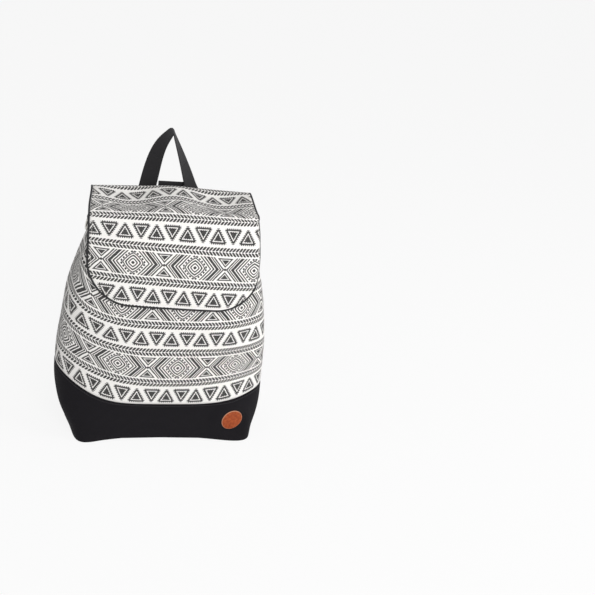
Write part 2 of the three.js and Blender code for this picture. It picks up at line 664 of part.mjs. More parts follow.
function hookEye() {
  const loop = (inset) => {
    const half = EYE_WINDOW_WIDTH / 2 + EYE_BAR - inset;
    const foot = EYE_FOOT + inset;
    const knee = (EYE_FOOT + EYE_TOP) / 2;
    const path = new THREE.Shape();
    path.moveTo(half, EYE_TOP - inset);
    path.lineTo(-half, EYE_TOP - inset);
    path.lineTo(-half, knee);
    path.quadraticCurveTo(-half, foot, -NECK_RADIUS, foot);
    path.lineTo(NECK_RADIUS, foot);
    path.quadraticCurveTo(half, foot, half, knee);
    return path;
  };
  const outline = loop(0);
  outline.holes.push(loop(EYE_BAR));
  const headTop = HOOK_LENGTH - PLAY;
  const post = turned(POST_RADIUS, headTop - POST_HEAD, EYE_FOOT + EYE_BAR / 2);
  const head = turned(POST_HEAD_RADIUS, headTop - POST_HEAD, headTop);
  return geometryOf(solidOf(plate(outline, EYE_BAR)).add(solidOf(post)).add(solidOf(head)));
}

// Frame of the lower left ring, and the strap's way from there to the keeper
const mirror = (v) => new THREE.Vector3(-v.x, v.y, v.z);
const archTurn = THREE.MathUtils.degToRad(ARCH_TURN);
const archFree = Math.asin((KEEPER_WIDTH / 2 - ARCH_FLAT) / ARCH_RADIUS); // where it leaves the keeper
const archPoint = (angle) => {
  const x = -(ARCH_FLAT + ARCH_RADIUS * Math.sin(angle));
  const z = STRAP_HEIGHT - ARCH_RADIUS * (1 - Math.cos(angle));
  const frame = seat(x, z, 1, Z);
  const out = new THREE.Vector3().setFromMatrixColumn(frame, 2);
  const lift = WEB_SEAT + (ARCH_LIFT - WEB_SEAT) * smooth(archFree, archTurn, angle);
  return { at: new THREE.Vector3().setFromMatrixPosition(frame).addScaledVector(out, lift), out };
};
const arch = rows(0, archTurn, ARCH_STEPS).map(archPoint);
const archEnd = arch[ARCH_STEPS];
const archWay = archEnd.at.clone().sub(arch[ARCH_STEPS - 1].at).normalize();
const lowerX = LOWER_RING_INSET_WIDTH - BASE_WIDTH / 2;
const lowerFoot = skin(angleAt(lowerX, LOWER_RING_HEIGHT, 1), LOWER_RING_HEIGHT);
const lowerSeat = seat(lowerX, LOWER_RING_HEIGHT, 1, archEnd.at.clone().sub(lowerFoot));
const ringTilt = Math.asin((HOOK_OUTSIDE + 2 * SEAT - RING_AXIS + RING_WIRE) / RING_HEIGHT);
const hookRise = RING_HEIGHT * Math.cos(ringTilt);
const hookAt = new THREE.Vector3(0, hookRise, RING_AXIS + RING_HEIGHT * Math.sin(ringTilt));

// Frame of the upper left ring, moved out until the gusset's fold clears the tab and the ring
const upperHeight = RIM_HEIGHT - UPPER_RING_DROP;
const upperSeat = seatAt(Math.PI, upperHeight, Z.clone().negate());
const upperOut = new THREE.Vector3().setFromMatrixColumn(upperSeat, 2);
const upperFoot = new THREE.Vector3().setFromMatrixPosition(upperSeat);
const upperReach = rows(upperHeight - RING_HEIGHT - RING_WIRE, RIM_HEIGHT, BODY_ROWS).flatMap((z) => {
  const beside = z >= upperHeight ? TAB_WIDTH / 2 : RING_HALF_WIDTH + RING_WIRE;
  const spare = z >= upperHeight ? 0 : RING_AXIS - RING_WIRE - SEAT;
  const edge = Math.PI - Math.asin((beside / backAt(z)) ** (section('squareness', z) / 2));
  return [Math.PI, edge].map((angle) => skin(angle, z).sub(upperFoot).dot(upperOut) - spare);
});
upperSeat.setPosition(upperFoot.addScaledVector(upperOut, Math.max(...upperReach)));

// Fittings of one side, drawn for the left and mirrored for the right
function fittings(side, sign) {
  const half = new THREE.Group();
  half.scale.x = sign;
  backpack.add(half);
  const lower = new THREE.Group();
  lower.applyMatrix4(lowerSeat);
  half.add(lower);
  piece(`lower_ring_tab_${side}`, ringTab(), WEBBING_BLACK, lower);
  const lowerRing = piece(`lower_ring_${side}`, dRing(), NICKEL, lower);
  lowerRing.position.z = RING_AXIS;
  lowerRing.rotation.x = ringTilt;
  const hook = new THREE.Group();
  hook.position.copy(hookAt);
  lower.add(hook);
  piece(`hook_eye_${side}`, hookEye(), NICKEL, hook);
  const swivel = new THREE.Group();
  swivel.rotation.y = -Math.PI / 2;
  hook.add(swivel);
  piece(`hook_body_${side}`, hookBody(), NICKEL, swivel);
  piece(`hook_gate_${side}`, hookGate(), NICKEL, swivel).position.set(GATE_X, GATE_PIVOT, 0);
  const upper = new THREE.Group();
  upper.applyMatrix4(upperSeat);
  half.add(upper);
  piece(`upper_ring_tab_${side}`, ringTab(), WEBBING_BLACK, upper);
  piece(`upper_ring_${side}`, dRing(), NICKEL, upper).position.z = RING_AXIS;
}
fittings('left', 1);
fittings('right', -1);

// Shoulder strap: one length of webbing from the left hook's eye, through the keeper, down through the
// slider, round the right hook's eye and back up to the slider's middle bar
const eyeAxis = hookAt.clone().add(new THREE.Vector3(0, EYE_AXIS, 0)).applyMatrix4(lowerSeat);
const eyeSide = new THREE.Vector3().setFromMatrixColumn(lowerSeat, 0);
const eyeUp = new THREE.Vector3().setFromMatrixColumn(lowerSeat, 1);
const eyeOut = new THREE.Vector3().setFromMatrixColumn(lowerSeat, 2);
const eyeBow = Y.clone().projectOnPlane(eyeSide);
const eyeTurn = EYE_BAR * Math.SQRT1_2 + PLAY + WEBBING / 2;
const run = new THREE.CubicBezierCurve3(
  eyeAxis,
  eyeAxis.clone().addScaledVector(eyeUp, RUN_STIFFNESS).addScaledVector(eyeBow, RUN_BOW),
  archEnd.at.clone().addScaledVector(archWay, RUN_STIFFNESS).addScaledVector(Y, RUN_BOW),
  archEnd.at,
);
const runLength = run.getLength();

// Place on the strap's left way up: distance from the eye, offset outwards.
function onRun(distance, offset) {
  const share = distance / runLength;
  const out = eyeOut
    .clone()
    .lerp(archEnd.out, smooth(0, 1, share))
    .projectOnPlane(run.getTangentAt(share))
    .normalize();
  return { at: run.getPointAt(share).addScaledVector(out, offset), out };
}

const layerOffset = (distance) => {
  const together = (WEBBING + LAYER_GAP) / 2;
  return eyeTurn + (together - eyeTurn) * smooth(0, LAYER_CLOSING, distance);
};
const sliderTurn = SLIDER_WIRE + PLAY + WEBBING / 2;
const sliderOver = sliderTurn + WEBBING + SEAT;
const sliderFoot = SLIDER_DISTANCE - SLIDER_HALF_LENGTH;
const sliderHead = SLIDER_DISTANCE + SLIDER_HALF_LENGTH;

// Offset of the running layer: under the slider's end bars and over its middle bar.
function runningOffset(distance) {
  if (distance < sliderFoot) {
    const share = smooth(LAYER_CLOSING, sliderFoot, distance);
    return layerOffset(distance) * (1 - share) - sliderTurn * share;
  }
  if (distance > sliderHead) {
    return -sliderTurn * (1 - smooth(sliderHead, runLength, distance));
  }
  const phase = (Math.PI * (distance - SLIDER_DISTANCE)) / SLIDER_HALF_LENGTH;
  return (sliderOver - sliderTurn) / 2 + ((sliderOver + sliderTurn) / 2) * Math.cos(phase);
}

// Offset of the returning layer, inside the running one up to the slider's middle bar.
function returnOffset(distance) {
  const under = sliderTurn + WEBBING + LAYER_GAP;
  const share = smooth(LAYER_CLOSING, sliderFoot, distance);
  const near = layerOffset(distance) * (1 - share) + under * share;
  return -(near + (sliderTurn - near) * smooth(sliderFoot, SLIDER_DISTANCE, distance));
}

function shoulderStrap() {
  const flip = (sample) => ({ at: sample.at, out: sample.out.clone().negate() });
  const across = (sample) => ({ at: mirror(sample.at), out: mirror(sample.out) });
  const round = halfTurn(eyeAxis, eyeTurn, eyeOut, eyeUp.clone().negate());
  const settle = (distance) => layerOffset(distance) * (1 - smooth(STRAP_TAIL, runLength, distance));
  const closing = rows(LAYER_CLOSING / 4, LAYER_CLOSING, STRETCH_STEPS);
  const onward = rows(LAYER_CLOSING, runLength, RUN_STEPS).slice(1, -1);
  const weave = rows(sliderFoot, sliderHead, SLIDER_STEPS);
  const lower = rows(LAYER_CLOSING, sliderFoot, STRETCH_STEPS + 1).slice(1, -1);
  const upper = rows(sliderHead, runLength, RUN_STEPS).slice(1, -1);
  const sliderBar = onRun(SLIDER_DISTANCE, 0);
  const sliderUp = run.getTangentAt(SLIDER_DISTANCE / runLength);
  const end = halfTurn(sliderBar.at, sliderTurn, sliderBar.out, sliderUp);
  const left = [
    flip(onRun(STRAP_TAIL, -layerOffset(STRAP_TAIL))),
    ...[...closing].reverse().map((distance) => flip(onRun(distance, -layerOffset(distance)))),
    ...round,
    ...[...closing, ...onward].map((distance) => onRun(distance, settle(distance))),
    ...[...arch].reverse(),
  ];
  const right = [
    ...arch,
    ...[...closing, ...lower, ...weave, ...upper].reverse().map((d) => onRun(d, runningOffset(d))),
    ...[...round].reverse(),
    ...[...closing, ...lower].map((d) => flip(onRun(d, returnOffset(d)))),
    ...rows(sliderFoot, SLIDER_DISTANCE, STRETCH_STEPS + 1)
      .slice(0, -1)
      .map((d) => flip(onRun(d, returnOffset(d)))),
    ...end,
  ];
  return ribbon([...left, ...right.map(across)], STRAP_WIDTH, WEBBING);
}
piece('shoulder_strap', shoulderStrap(), WEBBING_BLACK);

// Slider: a wire frame with a middle bar, square to the strap's right way
function strapSlider() {
  const frame = new THREE.Path();
  const x = SLIDER_HALF_WIDTH - SLIDER_CORNER;
  const y = SLIDER_HALF_LENGTH - SLIDER_CORNER;
  frame.absarc(x, y, SLIDER_CORNER, 0, Math.PI / 2);
  frame.absarc(-x, y, SLIDER_CORNER, Math.PI / 2, Math.PI);
  frame.absarc(-x, -y, SLIDER_CORNER, Math.PI, 1.5 * Math.PI);
  frame.absarc(x, -y, SLIDER_CORNER, 1.5 * Math.PI, 2 * Math.PI);
  const points = frame.getPoints(2).map((point) => new THREE.Vector3(point.x, point.y, 0));
  const bar = turned(SLIDER_WIRE, -SLIDER_HALF_WIDTH, SLIDER_HALF_WIDTH).rotateZ(Math.PI / 2);
  return geometryOf(solidOf(wire(points, SLIDER_WIRE, Z, true)).add(solidOf(bar)));
}
const sliderSeat = onRun(SLIDER_DISTANCE, 0);
const sliderOut = mirror(sliderSeat.out);
const sliderUp = mirror(run.getTangentAt(SLIDER_DISTANCE / runLength));
const sliderSide = sliderUp.clone().cross(sliderOut);
piece('strap_slider', strapSlider(), NICKEL).applyMatrix4(
  new THREE.Matrix4().makeBasis(sliderSide, sliderUp, sliderOut).setPosition(mirror(sliderSeat.at)),
);

// Zip: two tapes that fill the mouth, each with its row of teeth; one is the other turned half round
const zipTop = RIM_HEIGHT - ZIP_DROP;
const zipMiddle = zipTop - ZIP_TAPE / 2;
const zipInset = CANVAS + SEAT;
const toothCount = Math.floor((2 * (skin(0, zipTop, zipInset).x - ZIP_MARGIN)) / TOOTH_PITCH);
const toothX = (k) => (k - (toothCount - 1) / 2 + 0.25) * TOOTH_PITCH;

function zipTape() {
  const half = rows(Math.PI, 2 * Math.PI, SKIN_SIDES / 2).map((angle) => skin(angle, zipTop, zipInset));
  const outline = new THREE.Shape(half.map((p) => new THREE.Vector2(p.x, Math.min(p.y, -ZIP_EDGE))));
  const tape = plate(outline, ZIP_TAPE).translate(0, 0, zipMiddle);
  const depth = TOOTH_ROOT + TOOTH_REACH;
  const middle = (TOOTH_REACH - TOOTH_ROOT) / 2;
  const teeth = rows(0, toothCount - 1, toothCount - 1).map(
    (k) => box(TOOTH_LENGTH, depth, TOOTH_HEIGHT, toothX(k), middle, zipMiddle),
  );
  return geometryOf(solidOf(tape).add(solidOf(mergeGeometries(teeth))));
}
piece('zip_tape_front', zipTape(), ZIP_BLACK);
piece('zip_tape_rear', zipTape(), ZIP_BLACK).rotation.z = Math.PI;

// Zip slider at the closed end: two plates on a divider that stands past the last teeth, and a bail on top
const plateInside = TOOTH_HEIGHT / 2 + PLAY;
const plateTop = plateInside + ZIP_PLATE;
const channelHalf = TOOTH_ROOT + PLAY + ZIP_FLANGE;
const dividerX = ZIP_SLIDER_LENGTH / 2 - 2 * ZIP_DIVIDER;
const zipSliderX = toothX(toothCount - 1) + (TOOTH_LENGTH + ZIP_DIVIDER) / 2 + PLAY - dividerX;

function zipSliderBody() {
  const end = ZIP_SLIDER_LENGTH / 2;
  const outline = new THREE.Shape();
  outline.moveTo(-end, -channelHalf);
  outline.lineTo(dividerX, -channelHalf - ZIP_FLANGE);
  outline.quadraticCurveTo(end, -channelHalf - ZIP_FLANGE, end, 0);
  outline.quadraticCurveTo(end, channelHalf + ZIP_FLANGE, dividerX, channelHalf + ZIP_FLANGE);
  outline.lineTo(-end, channelHalf);
  const flangeDrop = plateInside - ZIP_TAPE / 2 - PLAY;
  let body = solidOf(box(ZIP_DIVIDER, ZIP_DIVIDER, 2 * plateTop, dividerX, 0, 0));
  for (const level of [-1, 1]) {
    const sheet = plate(outline, ZIP_PLATE).translate(0, 0, level * (plateInside + ZIP_PLATE / 2));
    body = body.add(solidOf(sheet));
    for (const side of [-1, 1]) {
      const flangeY = side * (channelHalf - ZIP_FLANGE / 2);
      const flangeZ = level * (plateInside - flangeDrop / 2 + WELD);
      const flange = box(end + dividerX, ZIP_FLANGE, flangeDrop, (dividerX - end) / 2, flangeY, flangeZ);
      body = body.add(solidOf(flange));
    }
  }
  const bailSink = PLAY / BAIL_RADIUS;
  const bail = rows(-bailSink, Math.PI + bailSink, WIRE_SIDES).map((angle) => new THREE.Vector3(
    BAIL_RADIUS * Math.cos(angle),
    0,
    plateTop + BAIL_RADIUS * Math.sin(angle),
  ));
  return geometryOf(body.add(solidOf(wire(bail, BAIL_WIRE, Y, false))));
}
const zipSlider = piece('zip_slider', zipSliderBody(), NICKEL);
zipSlider.position.set(zipSliderX, 0, zipMiddle);

// Pull: a tab whose window hangs on the bail, flat along the zip
function zipPull() {
  const half = PULL_WIDTH / 2;
  const cross = BAIL_WIRE;
  const clear = BAIL_WIRE + PLAY;
  const outline = new THREE.Shape();
  outline.moveTo(cross, -clear - cross);
  outline.lineTo(cross, clear + cross);
  outline.lineTo(-cross - PULL_WINDOW, half);
  outline.lineTo(half - PULL_LENGTH, half);
  outline.absarc(half - PULL_LENGTH, 0, half, Math.PI / 2, 1.5 * Math.PI, false);
  outline.lineTo(-cross - PULL_WINDOW, -half);
  const window = new THREE.Path();
  window.moveTo(-cross, -clear);
  window.lineTo(-cross - PULL_WINDOW, -clear);
  window.lineTo(-cross - PULL_WINDOW, clear);
  window.lineTo(-cross, clear);
  outline.holes.push(window);
  return plate(outline, PULL_THICKNESS);
}
piece('zip_pull', zipPull(), NICKEL)
  .position.set(zipSliderX, 0, zipMiddle + plateTop + PULL_THICKNESS / 2 + PLAY);

// Leather patch on the front of the base
const patchSeat = new THREE.Group();
patchSeat.applyMatrix4(seat(SEAM_WIDTH / 2 - PATCH_INSET_WIDTH, PATCH_HEIGHT, -1, Z));
backpack.add(patchSeat);
const patch = new THREE.CylinderGeometry(PATCH_RADIUS, PATCH_RADIUS, PATCH_THICKNESS, 2 * ROUND_SIDES);
const patchDisc = piece('leather_patch', patch.rotateX(Math.PI / 2), LEATHER, patchSeat);
patchDisc.position.z = SEAT + PATCH_THICKNESS / 2;

export default backpack;
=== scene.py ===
import json
import math

import bmesh
import bpy
import numpy as np
from mathutils import Matrix, Vector


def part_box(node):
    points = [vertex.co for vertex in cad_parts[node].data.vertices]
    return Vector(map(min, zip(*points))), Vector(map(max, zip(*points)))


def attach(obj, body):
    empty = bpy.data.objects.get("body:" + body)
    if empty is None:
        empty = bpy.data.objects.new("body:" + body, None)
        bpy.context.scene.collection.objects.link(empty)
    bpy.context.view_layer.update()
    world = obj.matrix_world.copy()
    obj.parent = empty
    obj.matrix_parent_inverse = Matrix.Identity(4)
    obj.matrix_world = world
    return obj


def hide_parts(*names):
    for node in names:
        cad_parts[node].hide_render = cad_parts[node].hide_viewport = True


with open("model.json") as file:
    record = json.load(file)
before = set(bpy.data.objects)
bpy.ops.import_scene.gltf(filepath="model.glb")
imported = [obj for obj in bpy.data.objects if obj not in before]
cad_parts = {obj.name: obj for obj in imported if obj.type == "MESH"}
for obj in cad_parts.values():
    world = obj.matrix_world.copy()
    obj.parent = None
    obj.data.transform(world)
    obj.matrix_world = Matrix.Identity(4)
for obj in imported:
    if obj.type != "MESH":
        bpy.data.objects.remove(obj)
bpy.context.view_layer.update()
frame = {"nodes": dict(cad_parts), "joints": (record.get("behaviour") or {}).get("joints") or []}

# Base: a tub of black canvas with a flat boxed bottom, the foot of the bag. It is sewn to the printed body
# along a seam that dips at the front and back, its corners pull down a little and its walls go slack between them.
MM = 0.001  # sizes are written in millimetres
FLAT_UNIT = 100  # millimetres of flat cloth to one unit of its UV map
BASE_WIDTH, BASE_DEPTH, BASE_SQUARENESS = 300, 148, 9
SEAM_HEIGHT, SEAM_WIDTH, SEAM_DEPTH, SEAM_SWEEP = 78, 338, 156, 11
BELLY_HEIGHT, BELLY_WIDTH, BELLY_DEPTH = 190, 325, 154
SHOULDER_HEIGHT, SHOULDER_WIDTH, SHOULDER_DEPTH = 300, 288, 136
RIM_HEIGHT, RIM_WIDTH, RIM_DEPTH = 374, 258, 98
BODY_SQUARENESS = 3
GUSSET_TUCK, GUSSET_SPREAD, GUSSET_LENGTH = 13, 38, 150
CREASE_SQUARENESS, CREASE_LOW, CREASE_HIGH = 1.7, 170, 300  # the left front corner sharpens into a crease
CREASE_SIDE, CREASE_FRONT = (0.1, -0.3), (0.3, -0.2)
LEFT_HIKE, RIGHT_SINK = 20, 5
BASE_EDGE = 2.5  # rounding of the folded bottom edge
BASE_LIFT, BASE_LIFT_REACH = 3, (0.97, 0.2)  # rise of the slack bottom edge between the corners, and its run
BASE_SLACK, SEAM_PINCH, FLOOR_OPENING = 1.7, 1.1, 20
EAR_OUT, EAR_IN, EAR_HEIGHT, EAR_TIP = 9, 13, 60, 20  # the front corners stand forward; the left one is drawn in
EAR_FRONT, EAR_DRAWN, EAR_LEFT, EAR_RIGHT = (-30, -70), (25, -72), (-40, -145), (50, 145)  # where each sets in
EAR_POINT, EAR_POINT_SIDE = 0.7, (-95, -147)  # the left corner's own tip, as a share of EAR_OUT
CANVAS = 1.6
ROUND_STEPS, FLOOR_RINGS, FOLD_RINGS, WALL_RINGS = 300, 16, 6, 44

FRONT = 1.5 * np.pi  # the front's angle from +X
LEVELS = np.array([0, SEAM_HEIGHT, BELLY_HEIGHT, SHOULDER_HEIGHT, RIM_HEIGHT], float)
WIDTHS = np.array([BASE_WIDTH, SEAM_WIDTH, BELLY_WIDTH, SHOULDER_WIDTH, RIM_WIDTH], float)
DEPTHS = np.array([BASE_DEPTH, SEAM_DEPTH, BELLY_DEPTH, SHOULDER_DEPTH, RIM_DEPTH], float)
SQUARENESS = np.array([BASE_SQUARENESS] + [BODY_SQUARENESS] * 4, float)


def smooth(low, high, value):
    """Eased step from 0 at low to 1 at high; low may be the larger."""
    t = np.clip((value - low) / (high - low), 0, 1)
    return t * t * (3 - 2 * t)


def eased_between(low, high, slope_low, slope_high, span, t):
    """Smooth run from one value to the next, t from 0 to 1, with a slope at each."""
    lead, trail = t * (1 - t) ** 2 * slope_low * span, t * t * (t - 1) * slope_high * span
    return low + (high - low) * t * t * (3 - 2 * t) + lead + trail


def section(sizes, z):
    """Size of the bag's level section at a height, eased from level to level."""
    last = len(LEVELS) - 1
    before, after = np.maximum(np.arange(last + 1) - 1, 0), np.minimum(np.arange(last + 1) + 1, last)
    slope = (sizes[after] - sizes[before]) / (LEVELS[after] - LEVELS[before])
    i = np.clip(np.searchsorted(LEVELS, z) - 1, 0, last - 1)
    span = LEVELS[i + 1] - LEVELS[i]
    return eased_between(sizes[i], sizes[i + 1], slope[i], slope[i + 1], span, (z - LEVELS[i]) / span)


def skin(angle, z):
    """Outside of the bag at an angle from +X and a height, with the side gussets tucked in at the top."""
    angle, z = np.broadcast_arrays(np.asarray(angle, float), np.asarray(z, float))
    across, deep = np.cos(angle), np.sin(angle)
    crease = smooth(CREASE_LOW, CREASE_HIGH, z) * smooth(*CREASE_SIDE, across) * smooth(*CREASE_FRONT, deep)
    power = 2 / (section(SQUARENESS, z) + CREASE_SQUARENESS * crease)
    x = section(WIDTHS, z) / 2 * np.sign(across) * np.abs(across) ** power
    y = section(DEPTHS, z) / 2 * np.sign(deep) * np.abs(deep) ** power
    tuck = GUSSET_TUCK * smooth(RIM_HEIGHT - GUSSET_LENGTH, RIM_HEIGHT, z) * np.exp(-((y / GUSSET_SPREAD) ** 4))
    return np.stack([x - np.sign(x) * across**2 * tuck, y, z], -1)


def side_hike(angle):
    """How much higher the seam and the printed bands sit on the left side, and lower on the right."""
    turn = (FRONT - angle) / (np.pi / 2)  # 0 in front, 1 on the left, 2 at the back, -1 on the right
    left = smooth(0.05, 0.95, turn) * smooth(1.95, 1.2, turn)
    right = smooth(-0.5, -1, turn) * smooth(-1.95, -1.2, turn)
    return LEFT_HIKE * left - RIGHT_SINK * right


def seam_at(angle):
    """Height of the seam between the base and the printed body."""
    return SEAM_HEIGHT + SEAM_SWEEP * np.cos(2 * angle) + side_hike(angle)


def unit(vectors):
    return vectors / np.linalg.norm(vectors, axis=-1, keepdims=True)


def lengths_along(points, axis):
    """Distance travelled along one direction of a grid of points."""
    steps = np.linalg.norm(np.diff(points, axis=axis), axis=-1)
    start = np.zeros_like(np.take(steps, [0], axis=axis))
    return np.concatenate([start, np.cumsum(steps, axis=axis)], axis=axis)


def placed(name, data):
    """New object in the scene, at the origin."""
    made = bpy.data.objects.new(name, data)
    bpy.context.scene.collection.objects.link(made)
    return made


def cloth(name, points, flat, closed=False):
    """Sheet through a grid of points in millimetres; flat is each point's place on the flat cloth, its UV."""
    rows, columns = points.shape[:2]
    ring = columns - 1 if closed else columns
    index = np.arange(rows)[:, None] * ring + np.arange(columns)[None, :] % ring

    def corners(grid):
        return np.stack([grid[:-1, :-1], grid[:-1, 1:], grid[1:, 1:], grid[1:, :-1]], 2)

    mesh = bpy.data.meshes.new(name)
    mesh.from_pydata(points[:, :ring].reshape(-1, 3) * MM, [], corners(index).reshape(-1, 4).tolist())
    mesh.uv_layers.new(name="cloth").data.foreach_set("uv", corners(flat).ravel())
    mesh.polygons.foreach_set("use_smooth", [True] * len(mesh.polygons))
    return placed(name, mesh)


def thicken(sheet, thickness, lining=0):
    """Gives a sheet its thickness inwards from its outer face, with the lining's material slot inside."""
    wall = sheet.modifiers.new("thickness", "SOLIDIFY")
    wall.thickness, wall.offset = thickness * MM, -1
    wall.material_offset = lining


def slack(angle, z, size):
    """Soft shallow folds of hanging canvas, a sum of long waves round and up the bag."""
    drift = np.sin(3 * angle + 0.021 * z + 0.6) + 0.7 * np.sin(5 * angle - 0.034 * z + 2.1)
    ripple = 0.5 * np.sin(8 * angle + 0.055 * z + 1.3) + 0.35 * np.sin(13 * angle - 0.071 * z + 4.0)
    return size * (drift + ripple) / 2.5


round_bag = np.linspace(-np.pi / 2, FRONT, ROUND_STEPS + 1) + np.pi  # from the middle of the back


def ears(ring):
    """Shift of the front bottom corners, which hang heavy on a full bag."""
    x, y, z = ring.T
    front, low, tip = smooth(*EAR_FRONT, y), smooth(EAR_HEIGHT, 0, z), smooth(EAR_TIP, 0, z)
    left, right = smooth(*EAR_LEFT, x), smooth(*EAR_RIGHT, x)
    inwards = EAR_IN * left * smooth(*EAR_DRAWN, y) * low
    point = EAR_POINT * smooth(*EAR_POINT_SIDE, x) * tip
    outwards = EAR_OUT * front * (left * low + point + right * tip)
    return np.stack([inwards, -outwards, 0 * z], -1)


PATCH_FACING, PATCH_FLAT, PATCH_BLEND, PATCH_SEAT = (0.25, -0.95, -0.12), 19, 38, 1.0
patch_middle = np.mean(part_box("leather_patch"), axis=0) / MM
patch_normal = np.array(PATCH_FACING) / np.linalg.norm(PATCH_FACING)


def under_patch(points):
    """Draws the canvas behind the leather patch flat against it."""
    away = points - patch_middle
    height = away @ patch_normal
    spread = np.linalg.norm(away - height[..., None] * patch_normal, axis=-1)
    near = smooth(PATCH_BLEND, PATCH_FLAT, spread) * (np.abs(height) < PATCH_FLAT)
    near = near * smooth(0, PATCH_FLAT, points[..., 2])
    return points + (near * (-PATCH_SEAT - height))[..., None] * patch_normal


def upwards(height):
    return np.stack([0 * height, 0 * height, height], -1)


def base_points():
    """Rings of the base from the middle of its bottom, round the folded edge and up its wall to the seam."""
    outline = skin(round_bag, 0.0)
    reach = np.abs(outline[:, 0]) / (BASE_WIDTH / 2)
    lift = BASE_LIFT * smooth(*BASE_LIFT_REACH, reach)
    floor = [outline * [share, share, 1] for share in np.linspace(0.03, 0.96, FLOOR_RINGS)]
    floor = [ring + upwards(lift * i / FLOOR_RINGS) for i, ring in enumerate(floor)]
    rings = [ring + ears(ring) for ring in floor]
    for turn in np.linspace(0.15, 1, FOLD_RINGS) * np.pi / 2:
        edge = skin(round_bag, BASE_EDGE * (1 - np.cos(turn)))
        inset = 1 - BASE_EDGE * (1 - np.sin(turn)) / (BASE_WIDTH / 2)
        folded = edge * np.array([inset, inset, 1]) + upwards(lift)
        rings.append(folded + ears(folded))
    for share in np.linspace(0, 1, WALL_RINGS)[1:]:
        z = BASE_EDGE + (seam_at(round_bag) - BASE_EDGE) * share
        wall = skin(round_bag, z + lift * (1 - share))
        outward = unit(wall * [1 / BASE_WIDTH**2, 1 / BASE_DEPTH**2, 0])
        give = slack(round_bag, z, BASE_SLACK) * smooth(0, 0.3, share) * smooth(1, 0.8, share)
        pinch = SEAM_PINCH * smooth(0.93, 1, share)
        rings.append(wall + outward * (give - pinch)[:, None] + ears(wall))
    return np.array(rings)


base_grid = under_patch(base_points())
girth = lengths_along(base_grid[-1:], 1).repeat(len(base_grid), 0)
base_flat = np.stack([girth, lengths_along(base_grid, 0)], -1) / FLAT_UNIT
base = cloth("base_canvas", base_grid, base_flat, closed=True)
shell = bmesh.new()
shell.from_mesh(base.data)
open_edges = [edge for edge in shell.edges if edge.is_boundary]
floor_edges = [edge for edge in open_edges if max(v.co.z for v in edge.verts) < FLOOR_OPENING * MM]
bmesh.ops.contextual_create(shell, geom=floor_edges)
bmesh.ops.recalc_face_normals(shell, faces=shell.faces)
shell.to_mesh(base.data)
shell.free()
thicken(base, CANVAS)


class Sum:
    """A shader value that can be written into sums, so that a pattern reads as its formula."""

    def __init__(self, socket):
        self.socket = socket

    def made(self, operation, *terms):
        tree = self.socket.id_data
        step = tree.nodes.new("ShaderNodeMath")
        step.operation = operation
        for slot, term in zip(step.inputs, (self, *terms)):
            if isinstance(term, Sum):
                tree.links.new(slot, term.socket)
            else:
                slot.default_value = term
        return Sum(step.outputs[0])

    def __add__(self, other):
        return self.made("ADD", other)

    def __sub__(self, other):
        return self.made("SUBTRACT", other)

    def __mul__(self, other):
        return self.made("MULTIPLY", other)

    def __pow__(self, other):
        return self.made("POWER", other)

    def __abs__(self):
        return self.made("ABSOLUTE")

    def wrapped(self, period):
        """Distance from the nearest repeat."""
        return self.made("WRAP", period / 2, -period / 2)

    def either(self, other):
        return self.made("MAXIMUM", other)

    def both(self, other):
        return self.made("MINIMUM", other)

    def under(self, limit, soft):
        """Mask that is 1 below the limit and fades over a soft edge."""
        fade = (self * -1 + limit) * (1 / soft) + 0.5
        return fade.both(1).either(0)


def node(tree, kind, sockets=None, **settings):
    """Adds a node; sockets gives values or links by name or number, settings its own properties."""
    made = tree.nodes.new(kind)
    for key, value in settings.items():
        setattr(made, key, value)
    for key, value in (sockets or {}).items():
        if isinstance(value, Sum):
            value = value.socket
        if isinstance(value, bpy.types.NodeSocket):
            tree.links.new(made.inputs[key], value)
        else:
            made.inputs[key].default_value = value
    return made


def colour(red, green, blue):
    """Linear colour of an sRGB one given from 0 to 255."""
    parts = [value / 255 for value in (red, green, blue)]
    return (*[p / 12.92 if p <= 0.04045 else ((p + 0.055) / 1.055) ** 2.4 for p in parts], 1)


def effect(name, inputs, outputs):
    """Empty node group with named inputs and outputs: each is a socket type, or a type and its usual value."""
    tree = bpy.data.node_groups.new(name, "ShaderNodeTree")
    for label, (kind, usual) in inputs.items():
        socket = tree.interface.new_socket(label, in_out="INPUT", socket_type=kind)
        if usual is not None:
            socket.default_value = usual
    for label, kind in outputs.items():
        tree.interface.new_socket(label, in_out="OUTPUT", socket_type=kind)
    return tree, node(tree, "NodeGroupInput"), node(tree, "NodeGroupOutput")


def plain_weave():
    """Over-and-under weave: Height of the threads and Shade, a slow change of tone from thread to thread."""
    tree, given, result = effect(
        "plain weave",
        {"Flat": ("NodeSocketVector", None), "Thread": ("NodeSocketFloat", 0.9)},
        {"Height": "NodeSocketFloat", "Shade": "NodeSocketFloat"},
    )
    place = node(tree, "ShaderNodeSeparateXYZ", {0: given.outputs["Flat"]})
    thread = Sum(given.outputs["Thread"])
    across, along = (Sum(place.outputs[i]).made("DIVIDE", thread) for i in range(2))
    warp, weft = abs((across * math.pi).made("SINE")), abs((along * math.pi).made("SINE"))
    parity = (across.made("FLOOR") + along.made("FLOOR")).made("FLOORED_MODULO", 2)
    height = warp * (parity * 0.6 + 0.4) + weft * (parity * -0.6 + 1.0)
    threads = node(tree, "ShaderNodeCombineXYZ", {0: across.made("FLOOR"), 1: along.made("FLOOR") * 0.13})
    slubs = node(tree, "ShaderNodeTexWhiteNoise", {0: threads.outputs[0]}, noise_dimensions="2D")
    wide = node(tree, "ShaderNodeTexNoise", {"Vector": given.outputs["Flat"], "Scale": 0.06, "Detail": 3.0})
    shade = Sum(slubs.outputs["Value"]) * 0.35 + Sum(wide.outputs["Fac"]) * 0.65
    tree.links.new(result.inputs["Height"], height.socket)
    tree.links.new(result.inputs["Shade"], shade.socket)
    return tree


